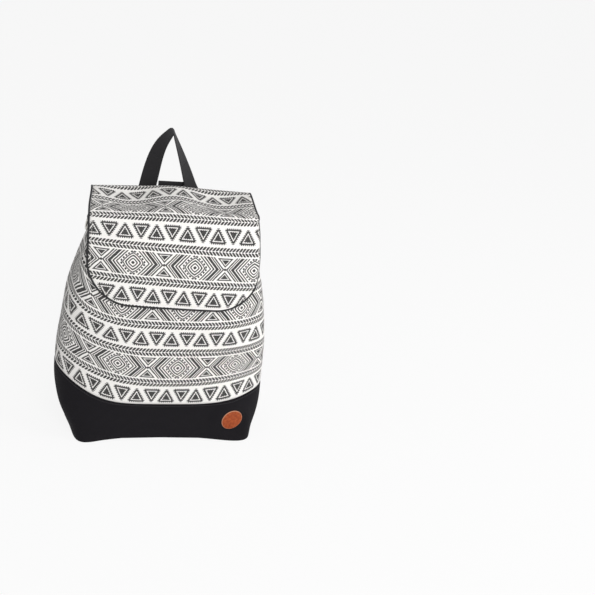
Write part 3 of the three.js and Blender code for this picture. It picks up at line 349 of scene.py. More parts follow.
def finish_material(name, build):
    """Material whose nodes are made by build(tree, shader) round one Principled shader."""
    material = bpy.data.materials.new(name)
    material.use_nodes = True
    tree = material.node_tree
    build(tree, tree.nodes["Principled BSDF"])
    return material


def flat_place(tree, scale):
    """Place on the flat cloth in millimetres, from the piece's own UV map."""
    uv = node(tree, "ShaderNodeUVMap", uv_map="cloth")
    return node(tree, "ShaderNodeVectorMath", {0: uv.outputs[0], 1: scale}, operation="MULTIPLY").outputs[0]


def bumped(tree, shader, height, strength, distance):
    bump = node(tree, "ShaderNodeBump", {"Height": height, "Strength": strength, "Distance": distance * MM})
    tree.links.new(shader.inputs["Normal"], bump.outputs[0])


def blended(tree, share, low, high):
    """Colour between two, by share; a colour mix has its share at 0 and its colours at 6 and 7."""
    return node(tree, "ShaderNodeMix", {0: share, 6: low, 7: high}, data_type="RGBA").outputs[2]


def surfaced(tree, shader, tone, roughness, plain=None):
    """Links a shader's colour and roughness, and sets its plain values by name."""
    tree.links.new(shader.inputs["Base Color"], tone)
    tree.links.new(shader.inputs["Roughness"], roughness.socket)
    for label, value in (plain or {}).items():
        shader.inputs[label].default_value = value


WEAVE = plain_weave()
PER_FLAT_UNIT = (FLAT_UNIT, FLAT_UNIT, 0)


def black_canvas(tree, shader):
    flat = flat_place(tree, PER_FLAT_UNIT)
    weave = node(tree, "ShaderNodeGroup", {"Flat": flat, "Thread": 0.8}, node_tree=WEAVE)
    lint = node(tree, "ShaderNodeTexNoise", {"Vector": flat, "Scale": 0.9, "Detail": 4.0, "Roughness": 0.7})
    specks = (Sum(lint.outputs["Fac"]) - 0.68).either(0) * 2.2
    dyed = blended(tree, weave.outputs["Shade"], colour(20, 19, 22), colour(31, 29, 33))
    linted = blended(tree, specks, dyed, colour(66, 64, 66))
    roughness = Sum(weave.outputs["Shade"]) * 0.12 + 0.8
    surfaced(tree, shader, linted, roughness, {"Sheen Weight": 0.03, "Specular IOR Level": 0.12})
    bumped(tree, shader, weave.outputs["Height"], 0.5, 0.25)


base.data.materials.append(finish_material("black canvas", black_canvas))
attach(base, "bag")
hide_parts("base_cup")

# Printed body: a tube of off-white cotton canvas with a band print in dark grey ink, wider below than at the mouth.
# Its sides are gussets folded inwards at the top, its foot is sewn to the base and its rim is turned in.
TILE_WIDTH, TILE_HEIGHT = 94.5, 100
BODY_PRINT_SIDE, BODY_PRINT_LEVEL = 17.3, 132.7  # middle of a diamond on the front
PRINT_EASE, PRINT_EASE_LEVELS = 0.75, (80, 150)  # share of the right side's rise that the upper bands lose
BODY_SLACK, BODY_TURN_IN, BODY_RINGS = 1.5, 0.9, 92


def body_points():
    """Rings of the printed tube from the seam to the rim."""
    rows = []
    for share in np.linspace(0, 1, BODY_RINGS):
        z = seam_at(round_bag) + (RIM_HEIGHT - seam_at(round_bag)) * share
        ring = skin(round_bag, z)
        outward = unit(ring * [1 / SEAM_WIDTH**2, 1 / SEAM_DEPTH**2, 0])
        free = smooth(0, 0.15, share) * smooth(1, 0.85, share)
        give = slack(round_bag, z, BODY_SLACK) * free - BODY_TURN_IN * smooth(0.03, 0, share)
        rows.append(ring + outward * give[:, None])
    return np.array(rows)


def print_place(points):
    """Place of each point on the printed cloth, in print tiles, from the middle of a diamond on the front."""
    girth = lengths_along(points, 1)
    front = np.argmin(np.abs(round_bag - FRONT))
    side = girth - girth[:, front : front + 1]
    rise = seam_at(round_bag) - seam_at(FRONT)
    eased = PRINT_EASE * smooth(*PRINT_EASE_LEVELS, points[..., 2]) * (np.cos(round_bag) > 0)
    level = points[..., 2] - rise * (1 - eased)
    return np.stack([(side - BODY_PRINT_SIDE) / TILE_WIDTH, (level - BODY_PRINT_LEVEL) / TILE_HEIGHT], -1)


body_grid = body_points()
body = cloth("printed_canvas_body", body_grid, print_place(body_grid), closed=True)
thicken(body, CANVAS, lining=1)


def band_print():
    """Traditional band print. Tile is the place in print tiles; Ink is 1 where the cloth is printed."""
    tree, given, result = effect("band print", {"Tile": ("NodeSocketVector", None)}, {"Ink": "NodeSocketFloat"})
    hand = node(tree, "ShaderNodeTexNoise", {"Vector": given.outputs["Tile"], "Scale": 14.0, "Detail": 2.0})
    shake = node(tree, "ShaderNodeSeparateXYZ", {0: hand.outputs["Color"]})
    place = node(tree, "ShaderNodeSeparateXYZ", {0: given.outputs["Tile"]})
    edge, unsteady = 0.3, 1.2  # soft edge of the ink, and how far the hand-drawn lines stray
    side = Sum(place.outputs[0]) * TILE_WIDTH + Sum(shake.outputs[0]) * unsteady - unsteady / 2
    level = Sum(place.outputs[1]) * TILE_HEIGHT + Sum(shake.outputs[1]) * unsteady - unsteady / 2
    level = level.wrapped(TILE_HEIGHT)
    height = abs(level)

    def line(distance, at, thick):
        return abs(distance - at).under(thick / 2, edge)

    # Triangles, point up and point down in turn, with an outline, a fringe outside it and a jagged core
    triangle_side, triangle_half, triangle_tall, triangle_tip, fringe = TILE_WIDTH / 2, 12.0, 21.0, 13.0, 3.3
    up_at, down_at, row_half, core_inset, core_jag = -14, 10, 15, 2.5, 0.7
    slant = math.hypot(triangle_half, triangle_tall)
    lean_x, lean_y = triangle_tall / slant, triangle_half / slant
    row = (level - TILE_HEIGHT / 2).wrapped(TILE_HEIGHT)

    def triangle(offset, up):
        x, y = (side - offset).wrapped(triangle_side), row * up
        flank = abs(x) * lean_x + (y - triangle_tall / 2) * lean_y
        foot = y * -1 - triangle_tall / 2
        tips = (x * x + (y + triangle_tall / 6) ** 2) ** 0.5 - triangle_tip
        out = flank.either(foot).either(tips)
        on_foot = (foot - flank).under(0, 0.01) * -1 + 1
        along = x * on_foot + y * (on_foot * -1 + 1) * (1 / lean_x)
        beside_tick = abs(along.wrapped(fringe))
        outline = line(out, -0.5, 2.5)
        comb = beside_tick.under(fringe * 0.27, edge).both(line(out, 1.2, 2.0))
        core = (out + beside_tick * core_jag).under(-core_inset, edge)
        return outline.either(comb).either(core)

    triangles = triangle(up_at, 1).either(triangle(down_at, -1)).both(abs(row).under(row_half, edge))

    # Herringbone between the bands: two rows of slanted grains
    grain_pitch, grain_lean, grain_half, grain_reach = TILE_WIDTH / 18, 0.75, 1.95, 3.0
    spine_level, grain_middle = 27, 3.3
    from_spine = abs(height - spine_level)
    grain = (side - from_spine * level.made("SIGN") * grain_lean).wrapped(grain_pitch)
    lens = (grain * (1 / grain_half)) ** 2 + (abs(from_spine - grain_middle) * (1 / grain_reach)) ** 6
    herringbone = lens.under(1, 0.4)

    # Diamonds: rings round a dot, a ring of beads, chevrons, and an hourglass midway
    band_half = 18.7
    x = abs(side.wrapped(TILE_WIDTH))
    dot, bulge, bead_pitch, bead_half, bead_ring, bead_long = 2.7, 1.25, 7.4, 1.5, 18.2, 3.4
    ring = (x**bulge + height**bulge) ** (1 / bulge)
    diamonds = ring.under(dot, edge)
    for at, thick in ((6.4, 2.1), (10.9, 2.5), (15.0, 1.9)):
        diamonds = diamonds.either(line(ring, at, thick))
    bead = abs((x - height).wrapped(bead_pitch)) * 0.7
    diamonds = diamonds.either(bead.under(bead_half, edge).both(line(ring, bead_ring, bead_long)))
    chevron = x + height * 0.86
    for at, thick in ((24.4, 2.4), (29.4, 2.8), (35.3, 5.2), (40.5, 2.2), (44.6, 2.6)):
        diamonds = diamonds.either(line(chevron, at, thick))
    waist = x * -1 + TILE_WIDTH / 2
    glass_half, glass_tall, glass_tip = 11.4, 13, 4.2
    glass_slant = math.hypot(glass_half, glass_tall)
    flank = (waist - (height - glass_tip) * (glass_half / glass_tall)) * (glass_tall / glass_slant)
    out = flank.either(height - glass_tip - glass_tall)
    glass = line(out, -0.4, 1.8).either(out.under(-2.4, edge))
    glass = glass.either((waist * waist + height * height).under(4, 1))
    diamonds = diamonds.either(glass).both(height.under(band_half, edge))

    ink = triangles.either(herringbone).either(diamonds)
    tree.links.new(result.inputs["Ink"], ink.socket)
    return tree


PRINT = band_print()
PER_TILE = (TILE_WIDTH, TILE_HEIGHT, 0)


def printed_canvas(tree, shader):
    uv = node(tree, "ShaderNodeUVMap", uv_map="cloth")
    flat = node(tree, "ShaderNodeVectorMath", {0: uv.outputs[0], 1: PER_TILE}, operation="MULTIPLY").outputs[0]
    weave = node(tree, "ShaderNodeGroup", {"Flat": flat, "Thread": 0.7}, node_tree=WEAVE)
    inked = node(tree, "ShaderNodeGroup", {"Tile": uv.outputs[0]}, node_tree=PRINT)
    wear = node(tree, "ShaderNodeTexNoise", {"Vector": flat, "Scale": 0.35, "Detail": 5.0, "Roughness": 0.6})
    cover = Sum(inked.outputs["Ink"]) * (Sum(wear.outputs["Fac"]) * 0.16 + 0.86)
    cotton = blended(tree, weave.outputs["Shade"], colour(240, 237, 233), colour(250, 248, 246))
    ink = blended(tree, weave.outputs["Shade"], colour(14, 13, 14), colour(30, 28, 29))
    plain = {"Sheen Weight": 0.05, "Specular IOR Level": 0.2}
    surfaced(tree, shader, blended(tree, cover, cotton, ink), cover * -0.08 + 0.9, plain)
    bumped(tree, shader, Sum(weave.outputs["Height"]) * 0.8 + cover * 0.2, 0.2, 0.12)


printed = finish_material("printed canvas", printed_canvas)
body.data.materials.append(printed)
body.data.materials.append(base.data.materials[0])
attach(body, "bag")
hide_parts("printed_body")

# Zip across the mouth: two black woven tapes that fill the mouth below the rim, each with a row of moulded teeth.
# Tapes and teeth keep their solid shape; the tape side is cloth, the strip in the middle hard and glossy.
TEETH_HALF = 4.3  # half width of the strip of teeth


def zip_tape(tree, shader):
    place = node(tree, "ShaderNodeTexCoord").outputs["Object"]
    flat = node(tree, "ShaderNodeVectorMath", {0: place, 1: (1 / MM,) * 3}, operation="MULTIPLY").outputs[0]
    parts = node(tree, "ShaderNodeSeparateXYZ", {0: flat})
    tooth = abs(Sum(parts.outputs[1])).under(TEETH_HALF, 0.4)
    weave = node(tree, "ShaderNodeGroup", {"Flat": flat, "Thread": 0.6}, node_tree=WEAVE)
    tape = blended(tree, weave.outputs["Shade"], colour(24, 24, 26), colour(40, 40, 42))
    surfaced(tree, shader, blended(tree, tooth, tape, colour(20, 20, 21)), tooth * -0.5 + 0.86)
    bumped(tree, shader, Sum(weave.outputs["Height"]) * (tooth * -1 + 1), 0.5, 0.2)


tape_material = finish_material("zip tape", zip_tape)
for name in ("zip_tape_front", "zip_tape_rear"):
    frame["nodes"][name].data.materials.clear()
    frame["nodes"][name].data.materials.append(tape_material)


# Zip slider and pull: die-cast nickel, the slider's two plates on the teeth and a flat pull on its bail.
# Their edges are tumbled round before plating, so they catch a thin line of light.
ZIP_SLIDER_EDGE, ZIP_PULL_EDGE = 0.25, 0.3
MERGE, FLAT_ANGLE, SHARP_ANGLE = 2e-6, 1, 32  # metres, and degrees between the faces at an edge


def merged_copy(node_name):
    """Copy of a solid's triangles with their shared corners joined, to be worked on."""
    work = bmesh.new()
    work.from_mesh(frame["nodes"][node_name].data)
    bmesh.ops.remove_doubles(work, verts=work.verts, dist=MERGE)
    return work


def rounded_copy(name, node_name, edge, steps=2):
    """Copy of a cast piece with its sharp edges rounded."""
    mesh = bpy.data.meshes.new(name)
    work = merged_copy(node_name)
    bmesh.ops.dissolve_limit(
        work,
        angle_limit=math.radians(FLAT_ANGLE),
        verts=work.verts,
        edges=work.edges,
        use_dissolve_boundaries=False,
    )
    work.to_mesh(mesh)
    work.free()
    for layer in list(mesh.uv_layers):
        mesh.uv_layers.remove(layer)
    copy = placed(name, mesh)
    mesh.polygons.foreach_set("use_smooth", [True] * len(mesh.polygons))
    bevel = copy.modifiers.new("rounded edges", "BEVEL")
    bevel.width, bevel.segments, bevel.limit_method = edge * MM, steps, "ANGLE"
    bevel.angle_limit, bevel.harden_normals = math.radians(SHARP_ANGLE), True
    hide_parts(node_name)
    return copy


def handling_wear():
    """Wear of plated metal: Rub is 1 in worn patches, Scratch is the height of fine hairlines."""
    tree, given, result = effect(
        "handling wear",
        {"Place": ("NodeSocketVector", None), "Scale": ("NodeSocketFloat", 90.0)},
        {"Rub": "NodeSocketFloat", "Scratch": "NodeSocketFloat"},
    )
    patches = node(tree, "ShaderNodeTexNoise", {"Vector": given.outputs["Place"], "Detail": 4.0})
    tree.links.new(patches.inputs["Scale"], given.outputs["Scale"])
    stretched = node(
        tree, "ShaderNodeMapping", {"Vector": given.outputs["Place"], "Scale": (1, 14, 3), "Rotation": (0.4, 0.9, 0.3)}
    )
    hairs = node(tree, "ShaderNodeTexNoise", {"Vector": stretched.outputs[0], "Scale": 260.0, "Detail": 2.0})
    rub = (Sum(patches.outputs["Fac"]) - 0.45) * 4
    tree.links.new(result.inputs["Rub"], rub.both(1).either(0).socket)
    tree.links.new(result.inputs["Scratch"], hairs.outputs["Fac"])
    return tree


WEAR = handling_wear()


def nickel(tree, shader):
    place = node(tree, "ShaderNodeTexCoord").outputs["Object"]
    wear = node(tree, "ShaderNodeGroup", {"Place": place, "Scale": 110.0}, node_tree=WEAR)
    rub = Sum(wear.outputs["Rub"])
    plated = blended(tree, rub, colour(196, 194, 189), colour(172, 169, 163))
    surfaced(tree, shader, plated, rub * 0.14 + 0.2, {"Metallic": 1})
    bumped(tree, shader, wear.outputs["Scratch"], 0.08, 0.1)


nickel_plate = finish_material("nickel plate", nickel)
for name, edge in (("zip_slider", ZIP_SLIDER_EDGE), ("zip_pull", ZIP_PULL_EDGE)):
    part = rounded_copy(name + "_cast", name, edge)
    part.data.materials.append(nickel_plate)
    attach(part, name)

# Flap: a sheet of the same printed canvas, sewn to the top of the back, over the mouth and down the front.
# Its lower corners are round. The slack top sinks into two hollows beside the middle, the front hangs flat.
FLAP_CANVAS, FLAP_BACK_WIDTH, FLAP_CORNER = 2.0, 246, 66
FLAP_HEM, FLAP_RISE, FLAP_FOLD, FLAP_LEAN, FLAP_SLOPE = 26, 20, 9, 4, 9
FLAP_ROUND, FLAP_LEFT_SPREAD, FLAP_RIGHT_SPREAD = 25, 8.5, 10.5  # the front fold is round, the front wider
FLAP_STANDOFF, FLAP_SEWN, FLAP_DROP, FLAP_HUG, FLAP_DROOP = 4.5, 1.5, 136, 0.8, 5
FLAP_HOLLOW, FLAP_HOLLOW_SPACING, FLAP_HOLLOW_FRONT, FLAP_HOLLOW_BACK = 10.5, 134, 44, 27
FLAP_PRINT_SIDE, FLAP_PRINT_LEVEL = 29, 67  # a diamond's middle: from the middle, and above the lower edge
FLAP_SEWN_WIDTH, FLAP_SEWN_RUN, FLAP_FOLD_RUN, FLAP_FALL_RUN = 214, 42, 140, 215  # the sewn end is cut narrower
FLAP_CURL, FLAP_CURL_WIDTH = 12, 10  # the right edge turns back round the bag's corner
FLAP_GATHER, FLAP_GATHER_RUNS = 11, (150, 55)  # cloth taken up by the slack of the top
FLAP_ASKEW, FLAP_PRINT_ASKEW = 0.036, 0.014  # the front hangs lower on the right, and is cut a little off the print
FLAP_TOP = RIM_HEIGHT + FLAP_RISE
FLAP_LINE_STEPS, FLAP_COLUMNS, FLAP_ROWS, FLAP_CORNER_ROWS, FLAP_CROWDED_ROWS = 600, 121, 110, 34, 6


def back_at(z):
    """How far the back of the bag stands from its middle at a height; the front is the same."""
    return section(DEPTHS, np.asarray(z, float)) / 2


STEPS_BETWEEN = 24  # fine steps between two points of a curve


def even_curve(points, count, closed=False):
    """Smooth curve through points, sampled at even distances; no loop forms where points crowd."""
    points = np.asarray(points, float)
    if closed:
        run = np.concatenate([points[-1:], points, points[:2]])
    else:
        run = np.concatenate([2 * points[:1] - points[1:2], points, 2 * points[-1:] - points[-2:-1]])
    knots = np.concatenate([[0], np.cumsum(np.linalg.norm(np.diff(run, axis=0), axis=1) ** 0.5)])
    fine = []
    for i in range(1, len(run) - 2):
        t = np.linspace(knots[i], knots[i + 1], STEPS_BETWEEN, endpoint=i == len(run) - 3)[:, None]
        p, k = run[i - 1 : i + 3], knots[i - 1 : i + 3]

        def between(a, b, low, high):
            return a + (b - a) * (t - low) / (high - low)

        a1, a2, a3 = (between(p[j], p[j + 1], k[j], k[j + 1]) for j in range(3))
        b1, b2 = between(a1, a2, k[0], k[2]), between(a2, a3, k[1], k[3])
        fine.append(between(b1, b2, k[1], k[2]))
    fine = np.concatenate(fine)
    travelled = np.concatenate([[0], np.cumsum(np.linalg.norm(np.diff(fine, axis=0), axis=1))])
    places = np.linspace(0, travelled[-1], count, endpoint=not closed)
    return np.stack([np.interp(places, travelled, fine[:, i]) for i in range(fine.shape[1])], -1), travelled[-1]


FLAP_BACK = back_at(RIM_HEIGHT) + FLAP_SEWN - FLAP_LEAN
FLAP_FRONT = -(back_at(RIM_HEIGHT) + FLAP_STANDOFF)


def flap_line():
    """The flap's middle line seen from the side, from the hem over the top to the lower edge."""
    hem, fall = np.linspace(RIM_HEIGHT - FLAP_HEM, RIM_HEIGHT, 4), np.linspace(FLAP_ROUND, FLAP_DROP, 7)
    fold = np.radians([90, 65, 40, 15])
    top = [
        (0, FLAP_BACK, FLAP_TOP - FLAP_FOLD),
        (0, FLAP_BACK - FLAP_FOLD, FLAP_TOP),
        (0, 0, FLAP_TOP - FLAP_SLOPE / 3),
    ]
    over = [
        (0, FLAP_FRONT + FLAP_ROUND * (1 - math.cos(a)), FLAP_TOP - FLAP_SLOPE - FLAP_ROUND * (1 - math.sin(a)))
        for a in fold
    ]
    down = [(0, -(back_at(z) + FLAP_STANDOFF), z) for z in RIM_HEIGHT - fall]
    return even_curve([(0, back_at(z) + FLAP_SEWN, z) for z in hem] + top + over + down, FLAP_LINE_STEPS)


flap_middle, flap_length = flap_line()
flap_straight = flap_length - FLAP_CORNER
flap_runs_of_line = np.linspace(0, flap_length, len(flap_middle))
flap_ways = unit(np.gradient(flap_middle, axis=0))


def flap_point(share, run):
    """Middle of the flap canvas: share runs from side to side, run is the distance from the sewn hem."""
    share, run = np.broadcast_arrays(np.asarray(share, float), np.asarray(run, float))
    y, z = (np.interp(run, flap_runs_of_line, flap_middle[:, i]) for i in (1, 2))
    level = np.abs(np.interp(run, flap_runs_of_line, flap_ways[:, 1]))
    half = (FLAP_SEWN_WIDTH + (FLAP_BACK_WIDTH - FLAP_SEWN_WIDTH) * smooth(0, FLAP_SEWN_RUN, run)) / 2
    left = FLAP_LEFT_SPREAD * smooth(FLAP_SEWN_RUN, FLAP_FOLD_RUN, run)
    right = FLAP_RIGHT_SPREAD * smooth(FLAP_FOLD_RUN - FLAP_SEWN_RUN, FLAP_FALL_RUN, run)
    half = half + np.where(share < 0, left, right)
    past = np.maximum(run - flap_straight, 0)
    x = share * (half - FLAP_CORNER + np.sqrt(np.maximum(FLAP_CORNER**2 - past**2, 0)))
    bend = (x / half) ** 2
    recede = FLAP_HUG * np.abs(2 * x / section(WIDTHS, z)) ** BODY_SQUARENESS * back_at(z) / BODY_SQUARENESS
    give = smooth(FLAP_FRONT, FLAP_FRONT + FLAP_HOLLOW_FRONT, y) * smooth(FLAP_BACK, FLAP_BACK - FLAP_HOLLOW_BACK, y)
    hollow = FLAP_HOLLOW * (1 - np.cos(2 * np.pi * x / FLAP_HOLLOW_SPACING)) / 2 * level * give
    curl = FLAP_CURL * np.clip((x - half) / FLAP_CURL_WIDTH + 1, 0, 1) ** 3 * smooth(0, FLAP_FRONT, y)
    hang = (np.sign(y) * recede - curl) * (1 - level) * smooth(0, FLAP_HEM, np.abs(y))
    askew = FLAP_ASKEW * x * smooth(FLAP_FOLD_RUN, flap_straight, run)
    return np.stack([x, y - hang, z - FLAP_DROOP * bend * level - hollow - askew], -1)


def flap_grid():
    """Shares across the flap and runs along it; the rows close up round the lower corners."""
    corner = flap_straight + FLAP_CORNER * np.sin(np.linspace(0, np.pi / 2, FLAP_CORNER_ROWS))
    runs = np.concatenate([np.linspace(0, flap_straight, FLAP_ROWS), corner[1:]])
    return np.linspace(-1, 1, FLAP_COLUMNS)[None, :], runs[:, None]


def grid_normals(points):
    across, along = np.gradient(points, axis=1), np.gradient(points, axis=0)
    return unit(np.cross(across, along))


shares, runs = flap_grid()
flap_points = flap_point(shares, runs)
flap_outs = -grid_normals(flap_points)
flap_outs[-FLAP_CROWDED_ROWS:] = flap_outs[-FLAP_CROWDED_ROWS - 1]  # too close together to give a normal
above_edge = np.broadcast_to(flap_length - runs, flap_points.shape[:2])
gathered = FLAP_GATHER * smooth(*FLAP_GATHER_RUNS, runs)
print_level = above_edge + FLAP_PRINT_ASKEW * flap_points[..., 0] + gathered
flap_flat = np.stack(
    [(flap_points[..., 0] - FLAP_PRINT_SIDE) / TILE_WIDTH, (print_level - FLAP_PRINT_LEVEL) / TILE_HEIGHT], -1
)
flap_face = flap_points + flap_outs * FLAP_CANVAS / 2
flap = cloth("printed_canvas_flap", flap_face[:, ::-1], flap_flat[:, ::-1])
thicken(flap, FLAP_CANVAS, lining=1)
flap.data.materials.append(printed)
flap.data.materials.append(base.data.materials[0])
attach(flap, "bag")
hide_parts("flap")

# Piping: a cord wrapped in black bias cloth, set into the flap's edge seam from the back fold down one side,
# round both corners and up the other side.
PIPING_RADIUS, PIPING_GAP, PIPING_SIDES, EDGE_STEPS = 1.5, 0.2, 14, 420


def path_tree(name, sizes):
    """Geometry tree that makes something along a path: its ends and the path's curve, with named sizes to set."""
    tree = bpy.data.node_groups.new(name, "GeometryNodeTree")
    tree.interface.new_socket("Path", in_out="INPUT", socket_type="NodeSocketGeometry")
    for label, (kind, usual) in sizes.items():
        tree.interface.new_socket(label, in_out="INPUT", socket_type=kind).default_value = usual
    tree.interface.new_socket("Material", in_out="INPUT", socket_type="NodeSocketMaterial")
    tree.interface.new_socket("Made", in_out="OUTPUT", socket_type="NodeSocketGeometry")
    given, result = node(tree, "NodeGroupInput"), node(tree, "NodeGroupOutput")
    curve = node(tree, "GeometryNodeMeshToCurve", {"Mesh": given.outputs["Path"]}).outputs[0]
    return tree, given, result, curve


def finish_tree(tree, given, result, made):
    """Ends a geometry tree: plain geometry, smooth, with its material."""
    real = node(tree, "GeometryNodeRealizeInstances", {0: made.outputs[0]})
    shaded = node(tree, "GeometryNodeSetShadeSmooth", {0: real.outputs[0]})
    dressed = node(tree, "GeometryNodeSetMaterial", {"Geometry": shaded.outputs[0]})
    tree.links.new(dressed.inputs["Material"], given.outputs["Material"])
    tree.links.new(result.inputs[0], dressed.outputs[0])
    return tree


def swept_tree():
    """Geometry nodes: a round cord or wire along a path."""
    sizes = {"Radius": ("NodeSocketFloat", 0.002), "Sides": ("NodeSocketInt", 12)}
    tree, given, result, curve = path_tree("swept wire", sizes)
    section_sizes = {"Resolution": given.outputs["Sides"], "Radius": given.outputs["Radius"]}
    profile = node(tree, "GeometryNodeCurvePrimitiveCircle", section_sizes)
    run = {"Curve": curve, "Profile Curve": profile.outputs[0], "Fill Caps": True}
    return finish_tree(tree, given, result, node(tree, "GeometryNodeCurveToMesh", run))


def grown(name, tree, seed_mesh, **sizes):
    """Plain mesh that a geometry tree makes from a seed mesh, with the tree's named inputs set."""
    seed = placed(name + "_seed", seed_mesh)
    grow = seed.modifiers.new("grow", "NODES")
    grow.node_group = tree
    sockets = {s.name: s.identifier for s in tree.interface.items_tree if s.in_out == "INPUT"}
    for label, value in sizes.items():
        grow[sockets[label]] = value
    ready = seed.evaluated_get(bpy.context.evaluated_depsgraph_get())
    mesh = bpy.data.meshes.new_from_object(ready)
    mesh.name = name
    bpy.data.objects.remove(seed)
    return placed(name, mesh)


def path_mesh(paths, closed=False):
    """Mesh of bare edges along paths in millimetres."""
    points, edges = [], []
    for path in paths:
        first = len(points)
        points.extend(np.asarray(path) * MM)
        edges.extend((first + i, first + i + 1) for i in range(len(path) - 1))
        if closed:
            edges.append((len(points) - 1, first))
    mesh = bpy.data.meshes.new("path")
    mesh.from_pydata(points, edges, [])
    return mesh


SWEPT = swept_tree()


def black_bias(tree, shader):
    place = node(tree, "ShaderNodeTexCoord").outputs["Object"]
    flat = node(tree, "ShaderNodeMapping", {"Vector": place, "Scale": (1 / MM,) * 3, "Rotation": (0.5, 0.6, 0.78)})
    weave = node(tree, "ShaderNodeGroup", {"Flat": flat.outputs[0], "Thread": 0.6}, node_tree=WEAVE)
    dyed = blended(tree, weave.outputs["Shade"], colour(24, 24, 26), colour(42, 41, 43))
    surfaced(tree, shader, dyed, Sum(weave.outputs["Shade"]) * 0.1 + 0.76)
    bumped(tree, shader, weave.outputs["Height"], 0.35, 0.15)


def flap_edge(inset):
    """Path beside the flap's free edge, from one end of the hem to the other, moved in by the inset."""
    free = runs[:, 0] > FLAP_SEWN_RUN
    mid, out = flap_points[free], flap_outs[free]
    edge = np.concatenate([mid[:, 0], mid[-1, 1:-1], mid[::-1, -1]])
    outs = np.concatenate([out[:, 0], out[-1, 1:-1], out[::-1, -1]])
    ways = unit(np.gradient(edge, axis=0))
    away = unit(np.cross(ways, outs))
    return edge - away * inset, outs


piping_path = even_curve(flap_edge(-(PIPING_RADIUS + PIPING_GAP))[0], EDGE_STEPS)[0]
piping = grown(
    "flap_piping_cord",
    SWEPT,
    path_mesh([piping_path]),
    Radius=PIPING_RADIUS * MM,
    Sides=PIPING_SIDES,
    Material=finish_material("black bias cloth", black_bias),
)
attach(piping, "bag")
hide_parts("flap_piping")

# Handle and keeper: black woven webbing. The handle is a loop sewn over the flap's hem that turns edge-on
# at its tip; the keeper is a band between its legs that the shoulder strap runs through.
WEBBING, WEB_EDGE_STEPS, WEB_FACE_STEPS = 1.6, 3, 8
BAND_STEP, TAB_STEP, STRAP_STEP = 2.5, 1.0, 1.6  # length of webbing to a row of the mesh
BAND_CORNER = 55  # degrees: an edge of a band's solid that is sharper is one of its four long corners
LEFT_FOOT, RIGHT_FOOT, HANDLE_TIP, HANDLE_SINK, LEFT_LEG_SLANT = 42.5, 41.5, 4.5, 5, 20
LEFT_LEG_BOW, RIGHT_LEG_BOW, LEFT_LEG_HOLD = 6, 1.15, 1.7  # how late each leg bends to the tip, and the left one turns
LEFT_LEG_TURN, TIP_TURN, RIGHT_LEG_TURN = -5, -85, -25


def band_rings(node_name):
    """Corners of a flat band's solid, ring by ring: each ring's first, then across its thickness, width and both."""
    work = merged_copy(node_name)
    beside = {vert: [] for vert in work.verts}
    for edge in work.edges:
        if edge.calc_face_angle() > math.radians(BAND_CORNER):
            for vert in edge.verts:
                beside[vert].append(edge.other_vert(vert))
    ends = [vert for vert, others in beside.items() if len(others) == 3]
    cap = [ends[0]] + [vert for vert in beside[ends[0]] if vert in ends]
    cap += [vert for vert in ends if vert not in cap and sum(vert in beside[c] for c in cap) == 2]
    rings = [[], sorted(cap, key=lambda vert: (vert.co - ends[0].co).length)]
    while len(rings) <= len(work.verts) / 4:
        passed = rings[-1] + rings[-2]
        rings.append([next(vert for vert in beside[corner] if vert not in passed) for corner in rings[-1]])
    corners = np.array([[vert.co[:] for vert in ring] for ring in rings[1:]]) / MM
    work.free()
    return corners


band_lines = {}  # each band's middle line, its ways across and through, and its width, for the stitches


def webbing_band(name, node_name, step=BAND_STEP, twist=None, lean=None):
    """Webbing along a band's solid: rounded selvedges, smooth turns, UV across and along it."""
    a, b, c, d = band_rings(node_name).transpose(1, 0, 2)
    middle, across, through = (a + b + c + d) / 4, (a + b - c - d) / 2, (a + c - b - d) / 2
    width = np.linalg.norm(across, axis=1).mean()
    if lean is not None:
        middle = lean(middle)
    count = max(int(lengths_along(middle, 0)[-1] / step), 8)
    rows = smooth_rows(np.concatenate([middle, across, through], 1), count)
    middle, across, through = rows[:, :3], rows[:, 3:6], rows[:, 6:]
    way = unit(np.gradient(middle, axis=0))
    if twist is not None:
        flat_on, turned = np.cross([0, 1, 0], way), twist(np.linspace(0, 1, count))[:, None]
        across = flat_on * np.cos(turned) + np.array([0, 1, 0]) * np.sin(turned)
    across = unit(across - way * (across * way).sum(1, keepdims=True))
    through = unit(np.cross(across, way)) * np.sign((np.cross(across, way) * through).sum(1, keepdims=True))
    band_lines[node_name] = middle, across, through, width
    half_thick = WEBBING / 2
    half_width = width / 2 - half_thick
    turn = np.linspace(-np.pi / 2, np.pi / 2, WEB_EDGE_STEPS + 2)[1:-1]
    face = np.linspace(-1, 1, WEB_FACE_STEPS + 1) * half_width
    side = np.concatenate([face, half_width + half_thick * np.cos(turn)])
    level = np.concatenate([np.full(WEB_FACE_STEPS + 1, -half_thick), half_thick * np.sin(turn)])
    side, level = np.concatenate([side, -side, side[:1]]), np.concatenate([level, -level, level[:1]])
    points = middle[:, None] + across[:, None] * side[:, None] + through[:, None] * level[:, None]
    along = np.broadcast_to(lengths_along(middle, 0)[:, None], points.shape[:2])
    flat = np.stack([np.broadcast_to(side, points.shape[:2]), along], -1) / FLAT_UNIT
    band = cloth(name, points, flat, closed=True)
    close_ends(band)
    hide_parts(node_name)
    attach(band, "bag")
    return band


def close_ends(tube):
    """Fills a tube's open ends and turns its faces outwards."""
    work = bmesh.new()
    work.from_mesh(tube.data)
    bmesh.ops.holes_fill(work, edges=[edge for edge in work.edges if edge.is_boundary])
    bmesh.ops.recalc_face_normals(work, faces=work.faces)
    work.to_mesh(tube.data)
    work.free()


